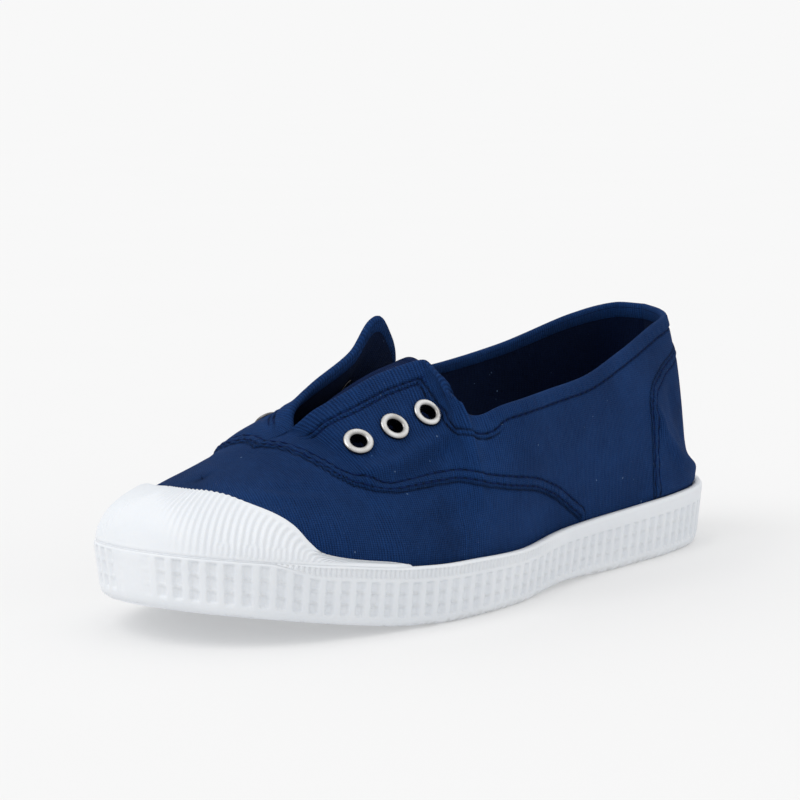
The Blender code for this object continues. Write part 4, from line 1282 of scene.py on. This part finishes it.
def add_seams(made, tone, height):
    """Sewn lines drawn from the charts of distance and travel on the canvas, in mm: a groove
    with its threads, darkened by painted shade and the threads' own tone, a puckered band
    between two grooves, and a painted shadow beyond the lapped edge."""
    charts = {label: made.node("ShaderNodeAttribute", attribute_name=label).outputs["Fac"]
              for label in CHART_NAMES}
    rough = made.noise(made.place(), 330.0, 2.0)
    wobble = made.math("MULTIPLY_ADD", rough, 0.5, -0.25)
    # dark gathers painted shade in the grooves, with the threads' own dark, and the lapped edge's painted
    # shadow
    dark = 0.0
    for gap, run, first, second, one, both in (
        ("quarter_gap", "quarter_run", FIRST_SEW, QUARTER_SEW, 1.0, 1.0),
        ("stay_gap", "stay_run", FIRST_SEW, STAY_SEW, 1.0, 1.0),
        ("hem_gap", "hem_run", HEM_SEW, FLAP_CHANNEL, charts["hem_there"], charts["flap"]),
    ):
        place = made.math("ADD", charts[gap], wobble)
        beat = made.math("MULTIPLY", charts[run], 2 * math.pi / (STITCH_LENGTH + STITCH_GAP))
        beat = made.math("SINE", beat)
        beat = made.spread(beat, -0.6, 0.6, 0.62, 1.0)
        near = bell(made, place, first, 0.30)
        far = made.math("MULTIPLY", bell(made, place, second, 0.30), both)
        lines = made.math("MULTIPLY", made.math("MULTIPLY", made.math("ADD", near, far), beat), one)
        dark = made.math("ADD", dark, lines)
        height = made.math("MULTIPLY_ADD", lines, -0.55, height)
        pucker = made.math("MULTIPLY_ADD", charts[run], 2.3, made.math("MULTIPLY", rough, 5.0))
        pucker = made.math("SINE", pucker)
        band = bell(made, place, (first + second) / 2, 0.9)
        band = made.math("MULTIPLY", made.math("MULTIPLY", band, both), one)
        height = made.math("MULTIPLY_ADD", made.math("MULTIPLY", pucker, band), 0.16, height)
        height = made.math("MULTIPLY_ADD", band, 0.30, height)
        if gap != "hem_gap":
            # Painted shadow on the canvas just beyond the lapped edge
            shade = bell(made, place, -0.25, 0.34)
            dark = made.math("MULTIPLY_ADD", shade, 0.75, dark)
            height = made.math("ADD", height, made.spread(place, -0.3, 0.35, 0.0, 0.55))
    dark = made.math("MINIMUM", dark, 1.0)
    # Painted shade and shadow mixed into the tone
    tone = made.mix(made.math("MULTIPLY", dark, 0.80), tone, colour(5, 12, 30))
    return tone, height


def canvas_material(name, dark, light, warp_pitch, weft_pitch, depth, sewn=False):
    """Cotton canvas: cords one way, finer threads the other, slubs, fading and lint."""
    made = Nodes(name)
    chart, u, v = made.weave_map()
    place = made.place()
    wander = made.noise(place, 900.0, 2.0)
    u_bent = made.math("MULTIPLY_ADD", wander, 0.16, u)
    cord = made.math("SINE", made.math("MULTIPLY", u_bent, 2 * math.pi / warp_pitch))
    cross = made.math("MULTIPLY_ADD", v, 2 * math.pi / weft_pitch, made.math("MULTIPLY", cord, 0.9))
    cross = made.math("SINE", cross)
    slub_chart = made.node("ShaderNodeMapping")
    slub_chart.inputs["Scale"].default_value = (2.2, 0.22, 1.0)
    made.put(chart, slub_chart.inputs["Vector"])
    slub = made.noise(slub_chart.outputs[0], 1.0, 3.0, 0.65)
    fine = made.noise(chart, 3.2, 3.0, 0.7)
    cloud = made.noise(place, 34.0, 4.0, 0.6)
    weave = made.math("MULTIPLY_ADD", cross, 0.30, made.math("MULTIPLY", cord, 0.40))
    weave = made.math("MULTIPLY_ADD", slub, 1.6, weave)
    weave = made.math("MULTIPLY_ADD", fine, 2.3, weave)
    shade = made.spread(weave, 1.05, 2.85)
    shade = made.math("MULTIPLY_ADD", made.spread(cloud, 0.30, 0.72, -0.5, 0.5), 0.42, shade)
    tone = made.mix(made.math("MINIMUM", made.math("MAXIMUM", shade, 0.0), 1.0), dark, light)
    lint = made.noise(place, 620.0, 1.0, 0.4)
    speck = made.spread(lint, 0.785, 0.82)
    tone = made.mix(made.math("MULTIPLY", speck, 0.45), tone, colour(120, 150, 190))
    below = None
    # Sewn canvas gets painted shade in its seam grooves and a painted shadow by each lapped edge
    if sewn:
        tone, relief_height = add_seams(made, tone, 0.0)
        below = made.bump(relief_height, 0.001)
    made.put(tone, made.shader.inputs["Base Color"])
    made.put(made.bump(weave, depth, below=below), made.shader.inputs["Normal"])
    made.shader.inputs["Roughness"].default_value = 0.92
    made.shader.inputs["Sheen Weight"].default_value = 0.05
    made.shader.inputs["Sheen Roughness"].default_value = 0.45
    made.shader.inputs["Sheen Tint"].default_value = colour(150, 178, 225)
    made.shader.inputs["Specular IOR Level"].default_value = 0.05
    return made.material


def rubber_material():
    """White vulcanised rubber: soft mottling, a fine skin, and grey in its lowest edge."""
    made = Nodes("rubber_white")
    place = made.place()
    cloud = made.noise(place, 26.0, 4.0, 0.6)
    grain = made.noise(place, 1400.0, 3.0, 0.6)
    dots = made.noise(place, 420.0, 2.0, 0.5)
    tone = made.mix(made.spread(cloud, 0.3, 0.7), colour(221, 225, 230), colour(229, 232, 236))
    smudge = made.spread(made.noise(place, 85.0, 5.0, 0.7), 0.60, 0.78, 0.0, 0.20)
    tone = made.mix(smudge, tone, colour(214, 214, 212))
    parts = made.node("ShaderNodeSeparateXYZ")
    made.put(place, parts.inputs[0])
    low = made.spread(parts.outputs[2], 0.0, 0.0022, 0.55, 0.0)
    low = made.math("MULTIPLY", low, made.spread(dots, 0.40, 0.62))
    tone = made.mix(low, tone, colour(168, 168, 164))
    made.put(tone, made.shader.inputs["Base Color"])
    height = made.math("MULTIPLY_ADD", grain, 0.25, made.math("MULTIPLY", dots, 0.5))
    made.put(made.bump(height, 0.00016, 0.9), made.shader.inputs["Normal"])
    made.put(made.spread(dots, 0.3, 0.7, 0.44, 0.58), made.shader.inputs["Roughness"])
    made.shader.inputs["Specular IOR Level"].default_value = 0.40
    made.shader.inputs["Subsurface Weight"].default_value = 0.10
    made.shader.inputs["Subsurface Radius"].default_value = (0.0016, 0.0014, 0.0012)
    return made.material


def nickel_material():
    """Nickel plate with fine scratches and a faint warm tarnish, and painted shade on the barrel and the
    ring's inner and outer edges.
    """
    made = Nodes("nickel")
    place = made.place()
    scratch = made.noise(place, 2600.0, 4.0, 0.7)
    tarnish = made.spread(made.noise(place, 240.0, 3.0, 0.6), 0.42, 0.75)
    metal = made.mix(tarnish, colour(232, 232, 232), colour(196, 192, 186))
    # Painted shade: away from the ring's crown the metal is mixed towards dark grey, on the barrel and
    # the inner and outer edges
    _, _, ring = made.weave_map()
    crown = bell(made, ring, 7.4, 2.9)
    metal = made.mix(crown, colour(78, 76, 76), metal)
    made.put(metal, made.shader.inputs["Base Color"])
    made.put(made.spread(scratch, 0.3, 0.7, 0.16, 0.32), made.shader.inputs["Roughness"])
    made.put(made.bump(scratch, 0.00003), made.shader.inputs["Normal"])
    made.shader.inputs["Metallic"].default_value = 1.0
    return made.material


def thread_material():
    made = Nodes("thread_navy")
    place = made.place()
    twist = made.noise(place, 3800.0, 2.0, 0.5)
    made.put(made.mix(twist, colour(8, 22, 58), colour(20, 42, 92)), made.shader.inputs["Base Color"])
    made.put(made.bump(twist, 0.00006), made.shader.inputs["Normal"])
    made.shader.inputs["Roughness"].default_value = 0.8
    made.shader.inputs["Specular IOR Level"].default_value = 0.05
    return made.material


def floor_material():
    made = Nodes("floor_paper")
    grain = made.noise(made.place(), 9.0, 3.0, 0.5)
    tone = made.mix(grain, (0.556, 0.556, 0.556, 1.0), (0.564, 0.564, 0.564, 1.0))
    made.put(tone, made.shader.inputs["Base Color"])
    made.shader.inputs["Emission Color"].default_value = (1.0, 1.0, 1.0, 1.0)
    made.shader.inputs["Emission Strength"].default_value = FLOOR_GLOW
    made.shader.inputs["Roughness"].default_value = 0.95
    made.shader.inputs["Specular IOR Level"].default_value = 0.0
    return made.material


def build_studio():
    """A wide pale light table, an even sky and one broad soft light from the toe's side."""
    half = FLOOR_HALF
    mesh = bpy.data.meshes.new("floor")
    corners = [(-half, -half, 0), (half, -half, 0), (half, half, 0), (-half, half, 0)]
    mesh.from_pydata(corners, [], [(0, 1, 2, 3)])
    mesh.materials.append(floor_material())
    floor = bpy.data.objects.new("floor", mesh)
    floor.location.z = -0.0002
    bpy.context.scene.collection.objects.link(floor)
    world = bpy.context.scene.world or bpy.data.worlds.new("studio")
    bpy.context.scene.world = world
    world.use_nodes = True
    sky = world.node_tree.nodes.get("Background") or world.node_tree.nodes.new("ShaderNodeBackground")
    sky.inputs["Color"].default_value = (1.0, 1.0, 1.0, 1.0)
    sky.inputs["Strength"].default_value = WORLD_STRENGTH
    for name, turn, height, angle, strength in SUNS:
        light = bpy.data.lights.new(name, "SUN")
        light.energy = strength
        light.angle = math.radians(angle)
        lamp = bpy.data.objects.new(name, light)
        way = Vector((
            math.cos(math.radians(turn)) * math.cos(math.radians(height)),
            math.sin(math.radians(turn)) * math.cos(math.radians(height)),
            math.sin(math.radians(height)),
        ))
        lamp.rotation_euler = way.to_track_quat("Z", "Y").to_euler()
        lamp.location = way
        bpy.context.scene.collection.objects.link(lamp)
    bpy.context.scene.view_settings.view_transform = "Standard"


def build_camera():
    turn = math.radians(CAMERA_TURN)
    pitch = math.radians(CAMERA_PITCH)
    back = Vector((
        math.sin(turn) * math.cos(pitch),
        -math.cos(turn) * math.cos(pitch),
        math.sin(pitch),
    ))
    data = bpy.data.cameras.new("camera")
    data.lens = CAMERA_LENS
    data.sensor_width = 36.0
    data.clip_start = 0.05
    data.clip_end = 200.0
    camera = bpy.data.objects.new("camera", data)
    camera.location = CAMERA_PLACE
    camera.rotation_euler = back.to_track_quat("Z", "Y").to_euler()
    bpy.context.scene.collection.objects.link(camera)
    bpy.context.scene.camera = camera


def stand_for(piece, slot, *nodes):
    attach(piece, "root")
    if nodes:
        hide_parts(*nodes)


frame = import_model()
outline = Outline()
OUTLINE_LENGTH = float(np.linalg.norm(np.diff(outline.curve, axis=0), axis=1).sum()) / MM
THIN_PITCH = OUTLINE_LENGTH / RIB_COUNT / 3
upper = Upper(outline)
relief = Relief(upper)

canvas = canvas_material("canvas_navy", colour(6, 29, 66), colour(31, 68, 126), 0.80, 0.62, 0.00026, True)
# The lining's tones are darker than the canvas's: partly a darker cloth, partly painted shade of the
# shoe's inside
lining = canvas_material("lining_navy", colour(5, 12, 32), colour(14, 28, 60), 0.70, 0.70, 0.00012)
elastic = canvas_material("elastic_navy", colour(6, 18, 46), colour(20, 40, 84), 0.80, 0.80, 0.00020)
insole_cloth = canvas_material("insole_navy", colour(12, 24, 52), colour(26, 44, 84), 0.65, 0.65, 0.00012)
rubber = rubber_material()
nickel = nickel_material()
thread = thread_material()

canvas_piece, lining_piece = build_upper_pieces(upper, relief, canvas, lining)
stand_for(canvas_piece, "canvas", "upper")
stand_for(lining_piece, "canvas", "upper")
stand_for(build_stitches(upper, relief, canvas_piece, thread), "canvas")
stand_for(build_cap_detail(upper, rubber), "rubber", "toe_cap")
stand_for(build_sole_detail(outline, rubber), "rubber", "sole")
stand_for(build_gusset_detail(elastic), "gusset", "gusset")
stand_for(build_insole_detail(outline, insole_cloth), "insole", "insole")
for ring in build_eyelet_details(upper, nickel):
    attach(ring, "root")
build_studio()
build_camera()
